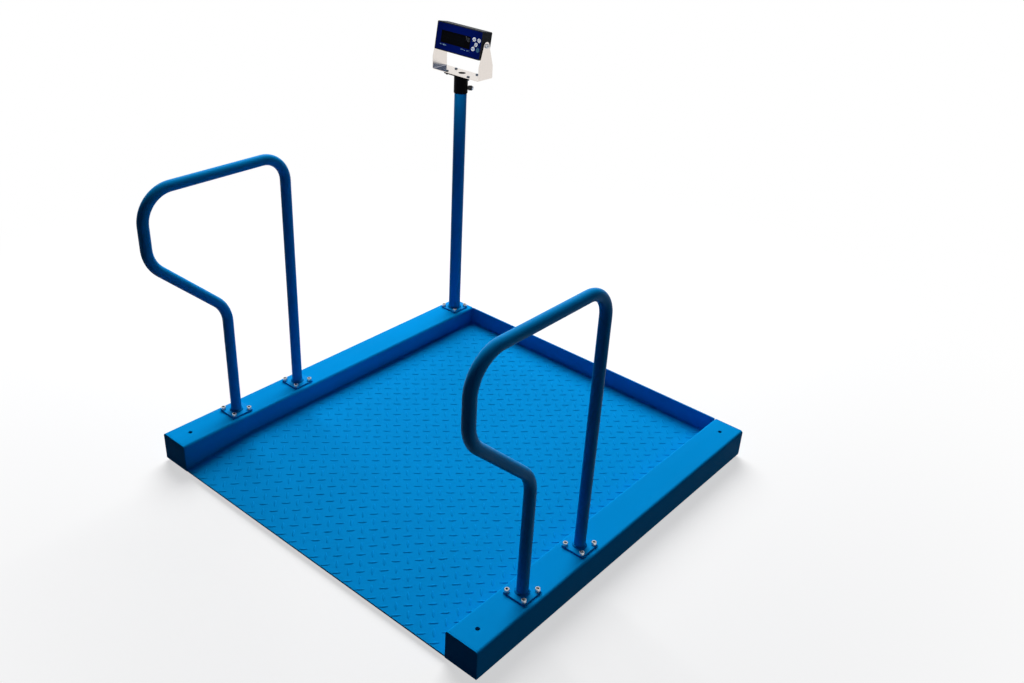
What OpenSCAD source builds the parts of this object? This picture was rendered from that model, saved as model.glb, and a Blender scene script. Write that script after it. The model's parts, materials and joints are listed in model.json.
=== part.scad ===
// Wheelchair scale: a low tread-plate platform between two folded rails, with a rear wall,
// bolted handrails, four load cells on levelling feet, and an indicator on a post.
// Millimetres, +Z up, the entry edge of the deck faces -Y. Z = 0 is the floor.

/* [Platform] */
// Overall width across both rails
platform_w = 1200; // [1000:10:1300]
// Overall length of the rails
platform_l = 1200; // [1100:10:1300]
// Height of the rails' lower edge above the floor
floor_gap = 8; // [7:0.5:12]
// Width of a rail
rail_w = 98; // [94:1:110]
// Height of a rail
rail_h = 85; // [82:1:95]
// Sheet thickness of the rails
rail_wall = 4; // [3:0.5:5]
// Outer bend radius along the top of the rails
rail_bend_r = 8; // [6:0.5:10]
// Thickness of the plates that close the rail ends
end_plate_t = 4; // [3:0.5:6]
// Thickness of the tread plate
deck_t = 5; // [4:0.5:6]
// Height of the deck's top above the rails' lower edge
deck_rise = 25; // [24:0.5:30]
// Length of the entry slope
ramp_l = 225; // [180:5:300]
// Height of the slope's front edge above the rails' lower edge
ramp_lip = 7; // [6.5:0.5:9]
// Thickness of the rear wall
rear_wall_t = 4; // [3:0.5:6]
// Leg length of the weld beads along the deck
weld_leg = 4; // [2:0.5:5]
// Number of stiffening channels under the deck
rib_count = 5; // [3:1:6]
// Width of a stiffening channel
rib_w = 60; // [40:2:80]
// Depth of a stiffening channel
rib_h = 15; // [10:0.5:16]
// Sheet thickness of a stiffening channel
rib_t = 3; // [2:0.5:4]

/* [Load cells] */
// Distance from a rail end to the foot axis
foot_inset = 54.5; // [50:0.5:60]
// Diameter of the holes over the feet
access_d = 11.5; // [10:0.5:14]
// Length of a load cell
cell_l = 130; // [120:1:140]
// Width of a load cell
cell_w = 32; // [28:1:36]
// Height of a load cell
cell_h = 32; // [28:1:34]
// Height of a load cell's underside above the floor
cell_z = 32; // [31:0.5:34]
// Distance from the foot axis to the load cell's outer end
cell_nose = 15.5; // [14:0.5:18]
// Distance from the foot axis to the first fixing bolt
cell_bolt_y = 76; // [72:1:80]
// Spacing of the two fixing bolts
cell_bolt_pitch = 25.4; // [24:0.2:28]
// Diameter of the load cell bolts
cell_bolt_d = 12; // [10:1:13]
// Diameter of the two bores in the load cell's waist
cell_eye_d = 18; // [14:1:22]
// Diameter of the foot studs
stud_d = 12; // [10:0.5:13]
// Length of a foot stud above its disc
stud_l = 66; // [58:1:70]
// Diameter of a foot's steel disc
disc_d = 40; // [34:1:44]
// Thickness of a foot's steel disc
disc_t = 7; // [5:0.5:8]
// Diameter of a foot's rubber sole
sole_d = 50; // [46:1:56]
// Thickness of the rubber under the steel disc
sole_t = 3; // [2:0.5:4]

/* [Handrails] */
// Outer diameter of the handrail tube
tube_d = 30; // [26:0.5:34]
// Wall of the handrail tube
tube_wall = 2; // [1.5:0.5:3]
// Distance from the rail's front end to the front leg
front_leg_y = 213; // [200:1:240]
// Distance from the rail's front end to the rear leg
rear_leg_y = 440; // [420:1:480]
// How far the upright's axis stands behind the rail's front end
upright_y = -4; // [-20:1:10]
// Height of the top bar's axis above the floor
top_bar_z = 831; // [800:1:900]
// Height of the lower knee's corner above the floor
low_knee_z = 437; // [400:1:460]
// Height of the upper knee's corner above the floor
high_knee_z = 639; // [620:1:660]
// Bend radius of both knees
knee_r = 98; // [80:1:110]
// Bend radius at the front of the top bar
front_bend_r = 88; // [70:1:100]
// Bend radius at the rear of the top bar
rear_bend_r = 75; // [60:1:90]

/* [Flanges] */
// Side of the square flanges
flange_side = 68; // [64:1:72]
// Thickness of the flanges
flange_t = 5; // [4:0.5:8]
// Corner radius of the flanges
flange_corner_r = 5; // [2:0.5:7]
// Spacing of the flange bolts
flange_pitch = 52; // [50:0.5:53]
// Diameter of the flange bolts
bolt_d = 8; // [6:1:8]
// Diameter of the flange bolts' heads
bolt_head_d = 13; // [12:0.5:14]
// Height of the flange bolts' heads
bolt_head_h = 8; // [6:0.5:9]
// Width across flats of the flange nuts
nut_flats = 13; // [12:0.5:14]
// Thickness of the flange nuts
nut_t = 6.5; // [5:0.5:7]
// Leg length of the weld ring round a tube's base
ring_leg = 4; // [2:0.5:5]

/* [Post] */
// Outer diameter of the post
post_d = 40; // [36:0.5:42]
// Wall of the post
post_wall = 2; // [1.5:0.5:3]
// Distance from the rail's rear end to the post's axis
post_inset = 47.5; // [44:0.5:60]
// Height of the bracket's base above the floor
bracket_z = 935; // [850:5:1000]
// Outer diameter of the swivel collar
collar_d = 45; // [44:0.5:50]
// Length of the swivel collar below its plate
collar_l = 56; // [50:1:90]
// Width of the collar's top plate
collar_plate_w = 102; // [101:1:112]
// Depth of the collar's top plate
collar_plate_d = 63; // [54:1:64]
// Thickness of the collar's top plate
collar_plate_t = 4; // [3:0.5:5]
// Diameter of the cable hole at the top of the post
cable_hole_d = 24; // [18:1:28]
// Height of the clamp screw above the collar's lower end
clamp_z = 16; // [12:1:32]
// Direction of the clamp screw, turned from +X towards +Y
clamp_turn = 40; // [0:5:90]
// Diameter of the clamp screw
clamp_d = 6; // [5:0.5:8]
// Diameter of the clamp knob
knob_d = 16; // [12:0.5:20]
// Length of the clamp knob
knob_l = 12; // [10:0.5:18]
// Diameter of the boss that the clamp screw threads into
clamp_boss_d = 12; // [10:0.5:14]
// How far that boss stands off the collar
clamp_boss_h = 1.5; // [1:0.5:5]

/* [Bracket] */
// Outer width of the bracket
bracket_w = 199; // [190:1:220]
// Depth of the bracket
bracket_d = 65; // [64:1:76]
// How far the bracket's middle sits behind the post's axis
bracket_back = 4; // [0:0.5:6]
// Sheet thickness of the bracket
bracket_t = 2; // [1.5:0.5:3]
// Outer bend radius of the bracket
bracket_bend_r = 4; // [3.5:0.5:6]
// Height of the tilt axis above the bracket's underside
pivot_h = 106; // [96:1:112]
// Height where an ear starts to narrow
ear_shoulder_z = 42; // [30:1:50]
// Radius of an ear's round top
ear_top_r = 12.5; // [10:0.5:15]
// Spacing of the bracket screws across the width
bracket_screw_x = 91; // [80:1:92]
// Spacing of the bracket screws front to back
bracket_screw_y = 42; // [36:1:44]
// Diameter of the bracket screws
bracket_screw_d = 5; // [4:0.5:5]

/* [Indicator] */
// How far the indicator's face leans back at rest
tilt = 10; // [0:1:30]
// Gap between the housing's side and the ear
ear_gap = 1; // [1:0.1:2]
// Height of the housing
housing_h = 87; // [84:1:96]
// Depth of the housing
housing_d = 42; // [40:1:50]
// Depth of the front shell
front_shell_d = 33; // [30:0.5:34]
// Wall of the housing
housing_wall = 2.5; // [2:0.25:3]
// Corner radius of the housing
housing_r = 4; // [3:0.5:6]
// How far the housing's middle hangs below the tilt axis
housing_drop = 2; // [0:0.5:5]
// Border left round the face overlay
overlay_border = 3; // [2:0.5:4]
// Thickness of the face overlay
overlay_t = 0.5; // [0.3:0.1:0.8]
// Distance of the window's left edge from the housing's left end
window_border = 22; // [16:0.5:30]
// Gap between the window and the nearest keys
window_gap = 7.5; // [6:0.5:12]
// Height of the display window
window_h = 38; // [34:1:42]
// Thickness of the display window
window_t = 2; // [1.5:0.25:2.5]
// Diameter of a key
key_d = 13.5; // [12:0.5:14]
// How far a key stands proud of the overlay
key_proud = 0.9; // [0.8:0.1:1.5]
// Travel of a key
key_travel = 0.6; // [0.4:0.1:0.7]
// Distance of the outer keys from the housing's right end
key_border = 5.75; // [5:0.25:8]
// Half the spacing of the outer keys across the face
key_dx = 10; // [9.5:0.25:10.5]
// Half the spacing of the outer keys up the face
key_dz = 14.3; // [13.5:0.1:15]
// Thickness of the circuit boards
board_t = 1.6; // [1.2:0.2:2]
// Diameter of the tilt screws
tilt_screw_d = 6; // [5:0.5:8]
// Diameter of the tilt screws' heads
tilt_head_d = 13; // [11:0.5:16]
// Height of the tilt screws' heads
tilt_head_h = 5; // [3:0.5:8]

/* [Junction box] */
// Width of the junction box
box_w = 58; // [50:1:64]
// Length of the junction box
box_l = 110; // [90:2:130]
// Height of the junction box
box_h = 44; // [40:1:48]
// Wall of the junction box
box_wall = 2.5; // [2:0.25:3]
// How far the box's middle lies in front of the channel that the leads cross in
box_offset = 115; // [100:5:140]
// Diameter of the load cell leads
lead_d = 4.5; // [3.5:0.25:5.5]
// Height of the leads inside the rails above the floor
lead_z = 66; // [62:0.5:70]

/* [Hidden] */

$fn = 48;
// Radial clearance of a running fit, such as a screw in its hole
fit = 0.05;
// Gap between faces of pieces that move past each other
gap = 0.3;
// Diametral clearance of a bolt's hole
clear = 1;
// Overlap that keeps a cut clean
eps = 0.5;

blue = [0.02, 0.42, 0.78];
steel = [0.75, 0.76, 0.78];
black = [0.03, 0.03, 0.035];
navy = [0.0, 0.04, 0.35];
ivory = [0.9, 0.9, 0.88];
green = [0.05, 0.35, 0.2];

// Platform places
front_y = -platform_l / 2;
back_y = platform_l / 2;
rail_x = platform_w / 2 - rail_w / 2;
rail_top = floor_gap + rail_h;
rail_under = rail_top - rail_wall;
deck_w = platform_w - 2 * rail_w;
deck_top = floor_gap + deck_rise;
deck_under = deck_top - deck_t;
ramp_angle = atan2(deck_rise - ramp_lip, ramp_l);
flange_top = rail_top + flange_t;
post_x = -rail_x;
post_y = back_y - post_inset;
bolt_hole_d = bolt_d + clear;

// Channels under the deck: the first starts where the slope ends, the last ends by the rear wall
first_rib_y = front_y + ramp_l + rib_w / 2;
last_rib_y = back_y - rear_wall_t - rib_w;
rib_pitch = (last_rib_y - first_rib_y) / (rib_count - 1);
rib_z = deck_under - rib_h;

// Corners as [side, end], in the order front left, front right, rear left, rear right
corners = [[-1, -1], [1, -1], [-1, 1], [1, 1]];
cell_top = cell_z + cell_h;
lock_nut_flats = stud_d * 1.6;
lock_nut_t = stud_d * 0.8;
disc_z = sole_t;
stud_z = disc_z + disc_t;
spacer_margin = 14;
spacer_y = cell_bolt_y - spacer_margin;
spacer_l = cell_bolt_pitch + 2 * spacer_margin;
cell_bolt_head_d = cell_bolt_d * 1.5;
cell_bolt_head_h = cell_bolt_d * 0.8;
cell_bolt_grip = 20;
cell_mid_z = cell_z + cell_h / 2;
cell_end = foot_inset + cell_l - cell_nose;
eye_y = (stud_d + cell_bolt_y - cell_bolt_d) / 2;
eye_dy = 0.6 * cell_eye_d;

// Junction box, and the two leads that cross the deck inside the last channel but one
cross_y = first_rib_y + (rib_count - 2) * rib_pitch;
cross_dy = lead_d + 1.5;
cross_z = rib_z + rib_t + lead_d / 2;
lead_port_d = lead_d + 3.5;
box_y = cross_y - box_offset;
box_z = rail_under - box_h;
box_front = box_y - box_l / 2 + box_wall;
box_rear = box_y + box_l / 2 - box_wall;
lid_t = 3;
lid_screw_inset = 6;
lid_screw_l = 12;
lid_screw_boss = 7.2;
box_corner_r = 4;
box_board_drop = 8;
box_board_w = box_w - 2 * box_wall - 2;
box_board_l = box_l - 4 * lid_screw_inset;
box_spacer_d = 6;
terminal_l = 10;
terminal_h = 8;
entry_dx = 10;
front_lead_y = front_y + cell_end;
rear_lead_y = back_y - cell_end;
lead_bend_r = 14;
lead_steps = 5;
lead_stub = 40;
lead_climb = 50;
lead_dip = 60;
box_stub = 15;
clip_w = 12;
clip_l = 10;
clip_pitch = 150;

// Handrail route in the plane of a rail, as [y, z] corners
handrail_route = [
    [front_y + front_leg_y, flange_top],
    [front_y + front_leg_y, low_knee_z],
    [front_y + upright_y, high_knee_z],
    [front_y + upright_y, top_bar_z],
    [front_y + rear_leg_y, top_bar_z],
    [front_y + rear_leg_y, flange_top]
];
handrail_bends = [0, knee_r, knee_r, front_bend_r, rear_bend_r, 0];
// How far a straight run reaches into a bend, and how much the bend's wall swells to take it in
bend_reach = 0.5;
bend_swell = 0.05;

// Flanges as [x, y, tube diameter]
handrail_flange_ys = [front_y + front_leg_y, front_y + rear_leg_y];
flanges = [
    for (side = [-1, 1], y = handrail_flange_ys) [side * rail_x, y],
    [post_x, post_y]
];

// Post and bracket places
collar_under = bracket_z - collar_plate_t;
collar_plate_r = 4;
collar_bottom = collar_under - collar_l;
post_top = collar_under - gap;
clamp_height = collar_bottom + clamp_z;
clamp_start = post_d / 2 + gap;
boss_end = collar_d / 2 + clamp_boss_h;
knob_start = boss_end + gap;
knob_end = knob_start + knob_l;
clamp_cap_h = 5;
clamp_cap_rim = 2;
clamp_cap_d = 0.8 * knob_d;
clamp_cap_end_d = 0.45 * knob_d;
pivot_z = bracket_z + pivot_h;
head_y = post_y + bracket_back;
ear_inner = bracket_w / 2 - bracket_t;

// Housing places, in the indicator's own frame: origin on the tilt axis, y into the housing
housing_w = 2 * (ear_inner - ear_gap);
face_y = -housing_d / 2;
seal_t = 1;
split_y = face_y + front_shell_d;
back_start = split_y + seal_t;
housing_back_y = housing_d / 2;
housing_z = -housing_drop;
recess_y = face_y + overlay_t;
front_wall_y = recess_y + housing_wall;
overlay_w = housing_w - 2 * overlay_border;
keys_x = housing_w / 2 - key_border - key_d / 2 - key_dx;
window_left = window_border - housing_w / 2;
window_right = keys_x - key_dx - key_d / 2 - window_gap;
window_w = window_right - window_left;
window_x = -(window_left + window_right) / 2;
overlay_h = housing_h - 2 * overlay_border;
overlay_r = 2;
window_r = 1.5;
key_clear = 0.25;
key_flange = 1.2;
key_flange_d = key_d + 3;
key_stop_y = front_wall_y + key_flange;
key_spots = [[-1, 1], [1, 1], [0, 0], [-1, -1], [1, -1]];
switch_w = 6;
switch_h = 3.5;
switch_face_y = key_stop_y + key_travel + 0.1;
key_board_y = switch_face_y + switch_h;
key_board_w = 2 * (key_dx + key_flange_d / 2);
key_board_h = 2 * (key_dz + key_flange_d / 2 + 2);
key_post_d = 5;
module_y = face_y + window_t;
module_d = 8;
board_post_d = 6;
board_post_x = window_w / 2 - 10;
board_post_z = housing_h / 2 - housing_wall - 8;
main_board_y = face_y + housing_d / 2;
main_board_h = 2 * board_post_z + board_post_d;
chip_w = 14;
chip_t = 4;
chip_xs = [-45, -15, 20];
pillar_d = 7;
pillar_inset = 9;
screw_d = 3;
screw_head_d = 2 * screw_d;
screw_sink = 2;
screw_grip = 14;
back_inner_y = housing_back_y - housing_wall;
battery_w = 70;
battery_h = 24;
battery_d = 14;
battery_r = 2;
battery_lift = 4;
tilt_grip = 8;
tilt_lug = tilt_screw_d + 10;
washer_t = ear_gap - gap;
head_start = bracket_w / 2 + gap;
gland_x = housing_w / 4;
gland_z = -housing_h / 4;
gland_d = 12;
gland_bore_d = 6;
gland_flange_t = 3;
gland_nut_t = 4;
gland_cap_h = 7;
socket_d = 9;
socket_bore_d = 5.6;
socket_depth = 8;
socket_floor = 2;
socket_rim = 1.5;

// The origin is on the floor, under the middle of the whole object's bounding box
reach_left = min(-platform_w / 2, post_x - head_start - tilt_head_h);
reach_front = min(front_y, front_y + upright_y - tube_d / 2);
origin_x = (reach_left + platform_w / 2) / 2;
origin_y = (reach_front + back_y) / 2;

module placed() translate([-origin_x, -origin_y, 0]) children();

// A 2D outline pushed along X: its x lies along Y and its y along Z
module along_x(length) rotate([90, 0, 90]) linear_extrude(height = length, center = true) children();

// A 2D outline pushed along Y: its x lies along X and its y along Z
module along_y(length) rotate([90, 0, 0]) linear_extrude(height = length, center = true) children();

module rounded_rect(w, h, r) {
    square([w - 2 * r, h], center = true);
    square([w, h - 2 * r], center = true);
    for (sx = [-1, 1], sy = [-1, 1])
        translate([sx * (w / 2 - r), sy * (h / 2 - r)]) circle(r = r);
}

module at_corner(corner)
    translate([corner[0] * rail_x, corner[1] * (back_y - foot_inset), 0])
    rotate([0, 0, corner[1] > 0 ? 180 : 0]) children();

module at_flange_bolts(flange)
    for (sx = [-1, 1], sy = [-1, 1])
        translate([flange[0] + sx * flange_pitch / 2, flange[1] + sy * flange_pitch / 2, 0]) children();

module hex_prism(flats, h) cylinder(d = flats / cos(30), h = h, $fn = 6);

// Platform

module deck_section() polygon([
    [front_y, floor_gap + ramp_lip - deck_t], [front_y, floor_gap + ramp_lip],
    [front_y + ramp_l, deck_top], [back_y - rear_wall_t, deck_top],
    [back_y - rear_wall_t, deck_under], [front_y + ramp_l, deck_under]
]);

module deck_plate() color(blue) placed() along_x(deck_w) deck_section();

module rib_section() difference() {
    translate([-rib_w / 2, 0]) square([rib_w, rib_h]);
    translate([-rib_w / 2 + rib_t, rib_t]) square([rib_w - 2 * rib_t, rib_h]);
}

module deck_ribs() color(blue) placed()
    for (i = [0 : rib_count - 1])
        translate([0, first_rib_y + i * rib_pitch, rib_z]) along_x(deck_w) rib_section();

module rail_outline(w, h, r) {
    translate([-w / 2, 0]) square([w, h - r]);
    translate([-w / 2 + r, 0]) square([w - 2 * r, h]);
    for (s = [-1, 1]) translate([s * (w / 2 - r), h - r]) circle(r = r);
}

module rail_section() difference() {
    rail_outline(rail_w, rail_h, rail_bend_r);
    translate([0, -eps])
        rail_outline(rail_w - 2 * rail_wall, rail_h - rail_wall + eps, rail_bend_r - rail_wall);
}

// A rail with holes over the feet at the given ends, for the flange bolts and for the crossing leads
module rail(side, ends) difference() {
    translate([side * rail_x, 0, floor_gap]) along_y(platform_l - 2 * end_plate_t) rail_section();
    for (end = ends)
        translate([side * rail_x, end * (back_y - foot_inset), rail_under - eps])
            cylinder(d = access_d, h = rail_wall + 2 * eps);
    for (f = flanges) if (f[0] * side > 0)
        at_flange_bolts(f) translate([0, 0, rail_under - eps])
            cylinder(d = bolt_hole_d, h = rail_wall + 2 * eps, $fn = 24);
    for (s = [-1, 1])
        translate([side * (deck_w + rail_wall) / 2, cross_y + s * cross_dy, cross_z])
            rotate([0, 90, 0]) cylinder(d = lead_port_d, h = 2 * rail_wall, center = true, $fn = 24);
}

// The post stands over the left rail's rear foot, so a cable hole takes the place of the foot's
module left_rail() color(blue) placed() difference() {
    rail(-1, [-1]);
    translate([post_x, post_y, rail_under - eps])
        cylinder(d = cable_hole_d, h = rail_wall + 2 * eps);
}

module right_rail() color(blue) placed() rail(1, [-1, 1]);

module rail_end_plates() color(blue) placed()
    for (side = [-1, 1], end = [-1, 1])
        translate([side * rail_x, end * (back_y - end_plate_t / 2), floor_gap])
            along_y(end_plate_t) rail_outline(rail_w, rail_h, rail_bend_r);

module rear_wall() color(blue) placed()
    translate([-deck_w / 2, back_y - rear_wall_t, floor_gap]) cube([deck_w, rear_wall_t, rail_h]);

module bead() polygon([[0, 0], [weld_leg, 0], [0, weld_leg]]);

// The bead along a side of the deck, through [y, z] stations that follow the slope and the flat
module side_bead() {
    stations = [
        [front_y + weld_leg, floor_gap + ramp_lip + weld_leg * tan(ramp_angle)],
        [front_y + ramp_l, deck_top], [back_y - rear_wall_t, deck_top]
    ];
    corner_points = [for (s = stations)
        each [[0, s[0], s[1]], [weld_leg, s[0], s[1]], [0, s[0], s[1] + weld_leg]]];
    sheets = [for (i = [0, 3])
        each [[i, i + 1, i + 4, i + 3], [i, i + 3, i + 5, i + 2], [i + 1, i + 2, i + 5, i + 4]]];
    polyhedron(points = corner_points, faces = concat([[0, 2, 1], [6, 7, 8]], sheets));
}

module deck_welds() color(blue) placed() {
    for (side = [-1, 1]) translate([side * deck_w / 2, 0, 0]) mirror([side > 0 ? 1 : 0, 0, 0])
        side_bead();
    translate([0, back_y - rear_wall_t, deck_top]) mirror([0, 1, 0])
        along_x(deck_w - 2 * weld_leg) bead();
}

// Tubes and flanges

function unit(v) = v / norm(v);
function heading(route, i) = unit(route[i + 1] - route[i]);
function corner_angle(route, i) = acos(heading(route, i - 1) * heading(route, i));
function trim(route, radii, i) = radii[i] == 0 ? 0 : radii[i] * tan(corner_angle(route, i) / 2);

// A ring, the section of a round tube
module ring(d, wall) difference() {
    circle(d = d);
    circle(d = d - 2 * wall);
}

function reach(radii, i) = radii[i] == 0 ? 0 : bend_reach;

// A tube along straight runs and round bends, in the plane x = 0
module bent_tube(route, radii, d, wall) {
    for (i = [0 : len(route) - 2]) {
        u = heading(route, i);
        from = trim(route, radii, i) - reach(radii, i);
        to = norm(route[i + 1] - route[i]) - trim(route, radii, i + 1) + reach(radii, i + 1);
        start = route[i] + u * from;
        translate([0, start[0], start[1]]) rotate([-atan2(u[0], u[1]), 0, 0])
            linear_extrude(height = to - from) ring(d, wall);
    }
    for (i = [1 : len(route) - 2]) {
        u = heading(route, i - 1);
        w = heading(route, i);
        side = sign(u[0] * w[1] - u[1] * w[0]);
        start = route[i] - u * trim(route, radii, i);
        centre = start + side * radii[i] * [-u[1], u[0]];
        first = atan2(start[1] - centre[1], start[0] - centre[0]);
        sweep = corner_angle(route, i);
        translate([0, centre[0], centre[1]]) rotate([90, 0, 90])
            rotate([0, 0, side > 0 ? first : first - sweep])
            rotate_extrude(angle = sweep) translate([radii[i], 0])
            ring(d + 2 * bend_swell, wall + 2 * bend_swell);
    }
}

module handrail(side) translate([side * rail_x, 0, 0])
    bent_tube(handrail_route, handrail_bends, tube_d, tube_wall);

module handrail_left() color(blue) placed() handrail(-1);
module handrail_right() color(blue) placed() handrail(1);

// A square flange with its weld ring, under a tube of diameter d, with a bore of diameter bore
module flange(place, d, bore) translate([place[0], place[1], rail_top]) difference() {
    union() {
        linear_extrude(height = flange_t) rounded_rect(flange_side, flange_side, flange_corner_r);
        translate([0, 0, flange_t]) rotate_extrude()
            polygon([[d / 2, 0], [d / 2 + ring_leg, 0], [d / 2, ring_leg]]);
    }
    for (sx = [-1, 1], sy = [-1, 1])
        translate([sx * flange_pitch / 2, sy * flange_pitch / 2, -eps])
            cylinder(d = bolt_hole_d, h = flange_t + 2 * eps, $fn = 24);
    if (bore > 0) translate([0, 0, -eps]) cylinder(d = bore, h = flange_t + 2 * eps);
}

module handrail_feet(side) for (y = handrail_flange_ys) flange([side * rail_x, y], tube_d, 0);

module handrail_feet_left() color(blue) placed() handrail_feet(-1);
module handrail_feet_right() color(blue) placed() handrail_feet(1);
module post_foot() color(blue) placed() flange([post_x, post_y], post_d, cable_hole_d);

module flange_bolt() {
    end_z = rail_under - nut_t - bolt_d / 4;
    translate([0, 0, end_z]) cylinder(d = bolt_d, h = flange_top - end_z, $fn = 24);
    translate([0, 0, flange_top]) difference() {
        cylinder(d = bolt_head_d, h = bolt_head_h, $fn = 32);
        translate([0, 0, bolt_head_h / 2]) hex_prism(bolt_d * 0.75, bolt_head_h);
    }
}

module flange_bolts() color(steel) placed() for (f = flanges) at_flange_bolts(f) flange_bolt();

module flange_nuts() color(steel) placed()
    for (f = flanges) at_flange_bolts(f) translate([0, 0, rail_under - nut_t]) difference() {
        hex_prism(nut_flats, nut_t);
        translate([0, 0, -eps]) cylinder(d = bolt_d + 2 * fit, h = nut_t + 2 * eps, $fn = 24);
    }

module post_tube() color(blue) placed() translate([post_x, post_y, flange_top]) difference() {
    cylinder(d = post_d, h = post_top - flange_top);
    translate([0, 0, -eps]) cylinder(d = post_d - 2 * post_wall, h = post_top - flange_top + 2 * eps);
}

// Load cells and feet

module load_cell(i) color(steel) placed() at_corner(corners[i]) difference() {
    translate([-cell_w / 2, -cell_nose, cell_z]) cube([cell_w, cell_l, cell_h]);
    translate([0, 0, cell_z - eps]) cylinder(d = stud_d + 2 * fit, h = cell_h + 2 * eps);
    for (k = [0, 1])
        translate([0, cell_bolt_y + k * cell_bolt_pitch, cell_z - eps])
            cylinder(d = cell_bolt_d + clear, h = cell_h + 2 * eps);
    // The waist where the gauges sit: two bores joined by a slot
    translate([0, eye_y, cell_mid_z]) {
        for (s = [-1, 1]) translate([0, s * eye_dy, 0]) rotate([0, 90, 0])
            cylinder(d = cell_eye_d, h = cell_w + 2 * eps, center = true);
        cube([cell_w + 2 * eps, 2 * eye_dy, cell_eye_d / 4], center = true);
    }
}

module load_cell_front_left() load_cell(0);
module load_cell_front_right() load_cell(1);
module load_cell_rear_left() load_cell(2);
module load_cell_rear_right() load_cell(3);

module cell_spacers() color(blue) placed()
    for (c = corners) at_corner(c) difference() {
        translate([-cell_w / 2, spacer_y, cell_top]) cube([cell_w, spacer_l, rail_under - cell_top]);
        for (k = [0, 1])
            translate([0, cell_bolt_y + k * cell_bolt_pitch, cell_top - eps])
                cylinder(d = cell_bolt_d + 2 * fit, h = cell_bolt_grip + 2 * eps);
    }

module cell_bolts() color(steel) placed()
    for (c = corners, k = [0, 1])
        at_corner(c) translate([0, cell_bolt_y + k * cell_bolt_pitch, 0]) difference() {
            union() {
                translate([0, 0, cell_z - cell_bolt_head_h])
                    cylinder(d = cell_bolt_head_d, h = cell_bolt_head_h);
                translate([0, 0, cell_z]) cylinder(d = cell_bolt_d, h = cell_h + cell_bolt_grip);
            }
            translate([0, 0, cell_z - 1.5 * cell_bolt_head_h])
                hex_prism(cell_bolt_d * 0.8, cell_bolt_head_h);
        }

module lock_nuts() color(steel) placed()
    for (c = corners) at_corner(c) translate([0, 0, cell_z - lock_nut_t]) difference() {
        hex_prism(lock_nut_flats, lock_nut_t);
        translate([0, 0, -eps]) cylinder(d = stud_d + 2 * fit, h = lock_nut_t + 2 * eps);
    }

module foot_stud(i) color(steel) placed() at_corner(corners[i]) difference() {
    union() {
        translate([0, 0, disc_z]) cylinder(d = disc_d, h = disc_t);
        translate([0, 0, stud_z]) cylinder(d = stud_d, h = stud_l);
    }
    // The socket for the levelling key, reached through the hole in the rail's top
    translate([0, 0, stud_z + stud_l - stud_d / 2]) hex_prism(stud_d / 2, stud_d);
}

module foot_stud_front_left() foot_stud(0);
module foot_stud_front_right() foot_stud(1);
module foot_stud_rear_left() foot_stud(2);
module foot_stud_rear_right() foot_stud(3);

module foot_sole(i) color(black) placed() at_corner(corners[i]) difference() {
    cylinder(d = sole_d, h = sole_t + disc_t / 2);
    translate([0, 0, disc_z]) cylinder(d = disc_d, h = disc_t);
}

module foot_sole_front_left() foot_sole(0);
module foot_sole_front_right() foot_sole(1);
module foot_sole_rear_left() foot_sole(2);
module foot_sole_rear_right() foot_sole(3);

// Junction box and leads

module at_lid_screws()
    for (sx = [-1, 1], sy = [-1, 1])
        translate([sx * (box_w / 2 - lid_screw_inset), sy * (box_l / 2 - lid_screw_inset), 0])
            children();

module at_box() translate([-rail_x, box_y, box_z]) children();

module junction_box() color(black) placed() at_box() translate([0, 0, lid_t]) {
    shell_h = box_h - lid_t;
    difference() {
        linear_extrude(height = shell_h) rounded_rect(box_w, box_l, box_corner_r);
        translate([0, 0, -eps]) linear_extrude(height = shell_h - box_wall + eps)
            rounded_rect(box_w - 2 * box_wall, box_l - 2 * box_wall, box_corner_r - box_wall);
        for (x = [-entry_dx, 0, entry_dx]) translate([x, 0, lead_z - box_z - lid_t]) rotate([90, 0, 0])
            cylinder(d = lead_d + 2 * fit, h = box_l + 2 * eps, center = true, $fn = 24);
    }
    at_lid_screws() difference() {
        cylinder(d = lid_screw_boss, h = shell_h - box_wall);
        translate([0, 0, -eps]) cylinder(d = screw_d + 2 * fit, h = lid_screw_l + eps, $fn = 24);
    }
}

module junction_lid() color(black) placed() at_box() difference() {
    linear_extrude(height = lid_t) rounded_rect(box_w, box_l, box_corner_r);
    at_lid_screws() translate([0, 0, -eps])
        cylinder(d = screw_d + clear / 2, h = lid_t + 2 * eps, $fn = 24);
}

module junction_screws() color(steel) placed() at_box() at_lid_screws() {
    cylinder(d = screw_d, h = lid_screw_l, $fn = 24);
    translate([0, 0, -screw_sink]) cylinder(d = screw_head_d, h = screw_sink, $fn = 24);
}

// The board, with spacers up to the box and terminal blocks below
module junction_board() color(green) placed() at_box()
    translate([0, 0, box_h - box_wall - box_board_drop]) {
        translate([0, 0, board_t / 2]) cube([box_board_w, box_board_l, board_t], center = true);
        for (s = [-1, 1]) {
            translate([0, s * (box_board_l / 2 - box_spacer_d), board_t])
                cylinder(d = box_spacer_d, h = box_board_drop - board_t);
            translate([0, s * box_board_l / 3, -terminal_h / 2])
                cube([box_board_w - terminal_l, terminal_l, terminal_h], center = true);
        }
    }

// A route with its inner corners rounded
function rounded_route(p, r) = [
    p[0],
    for (i = [1 : len(p) - 2]) let (
        u = unit(p[i] - p[i - 1]), w = unit(p[i + 1] - p[i]),
        turn = acos(u * w), start = p[i] - u * r * tan(turn / 2), across = unit(w - u * (u * w)))
        for (k = [0 : lead_steps])
            start + u * r * sin(k * turn / lead_steps) + across * r * (1 - cos(k * turn / lead_steps)),
    p[len(p) - 1]
];

// The direction at each point of a route, and a side vector carried along it without twist
function along(p, i) = unit(p[min(i + 1, len(p) - 1)] - p[max(i - 1, 0)]);
function carried(p, i, v) = unit(v - along(p, i) * (v * along(p, i)));
function sides(p, v, i = 0) =
    i == len(p) ? [] : let (s = carried(p, i, v)) concat([s], sides(p, s, i + 1));

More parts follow.
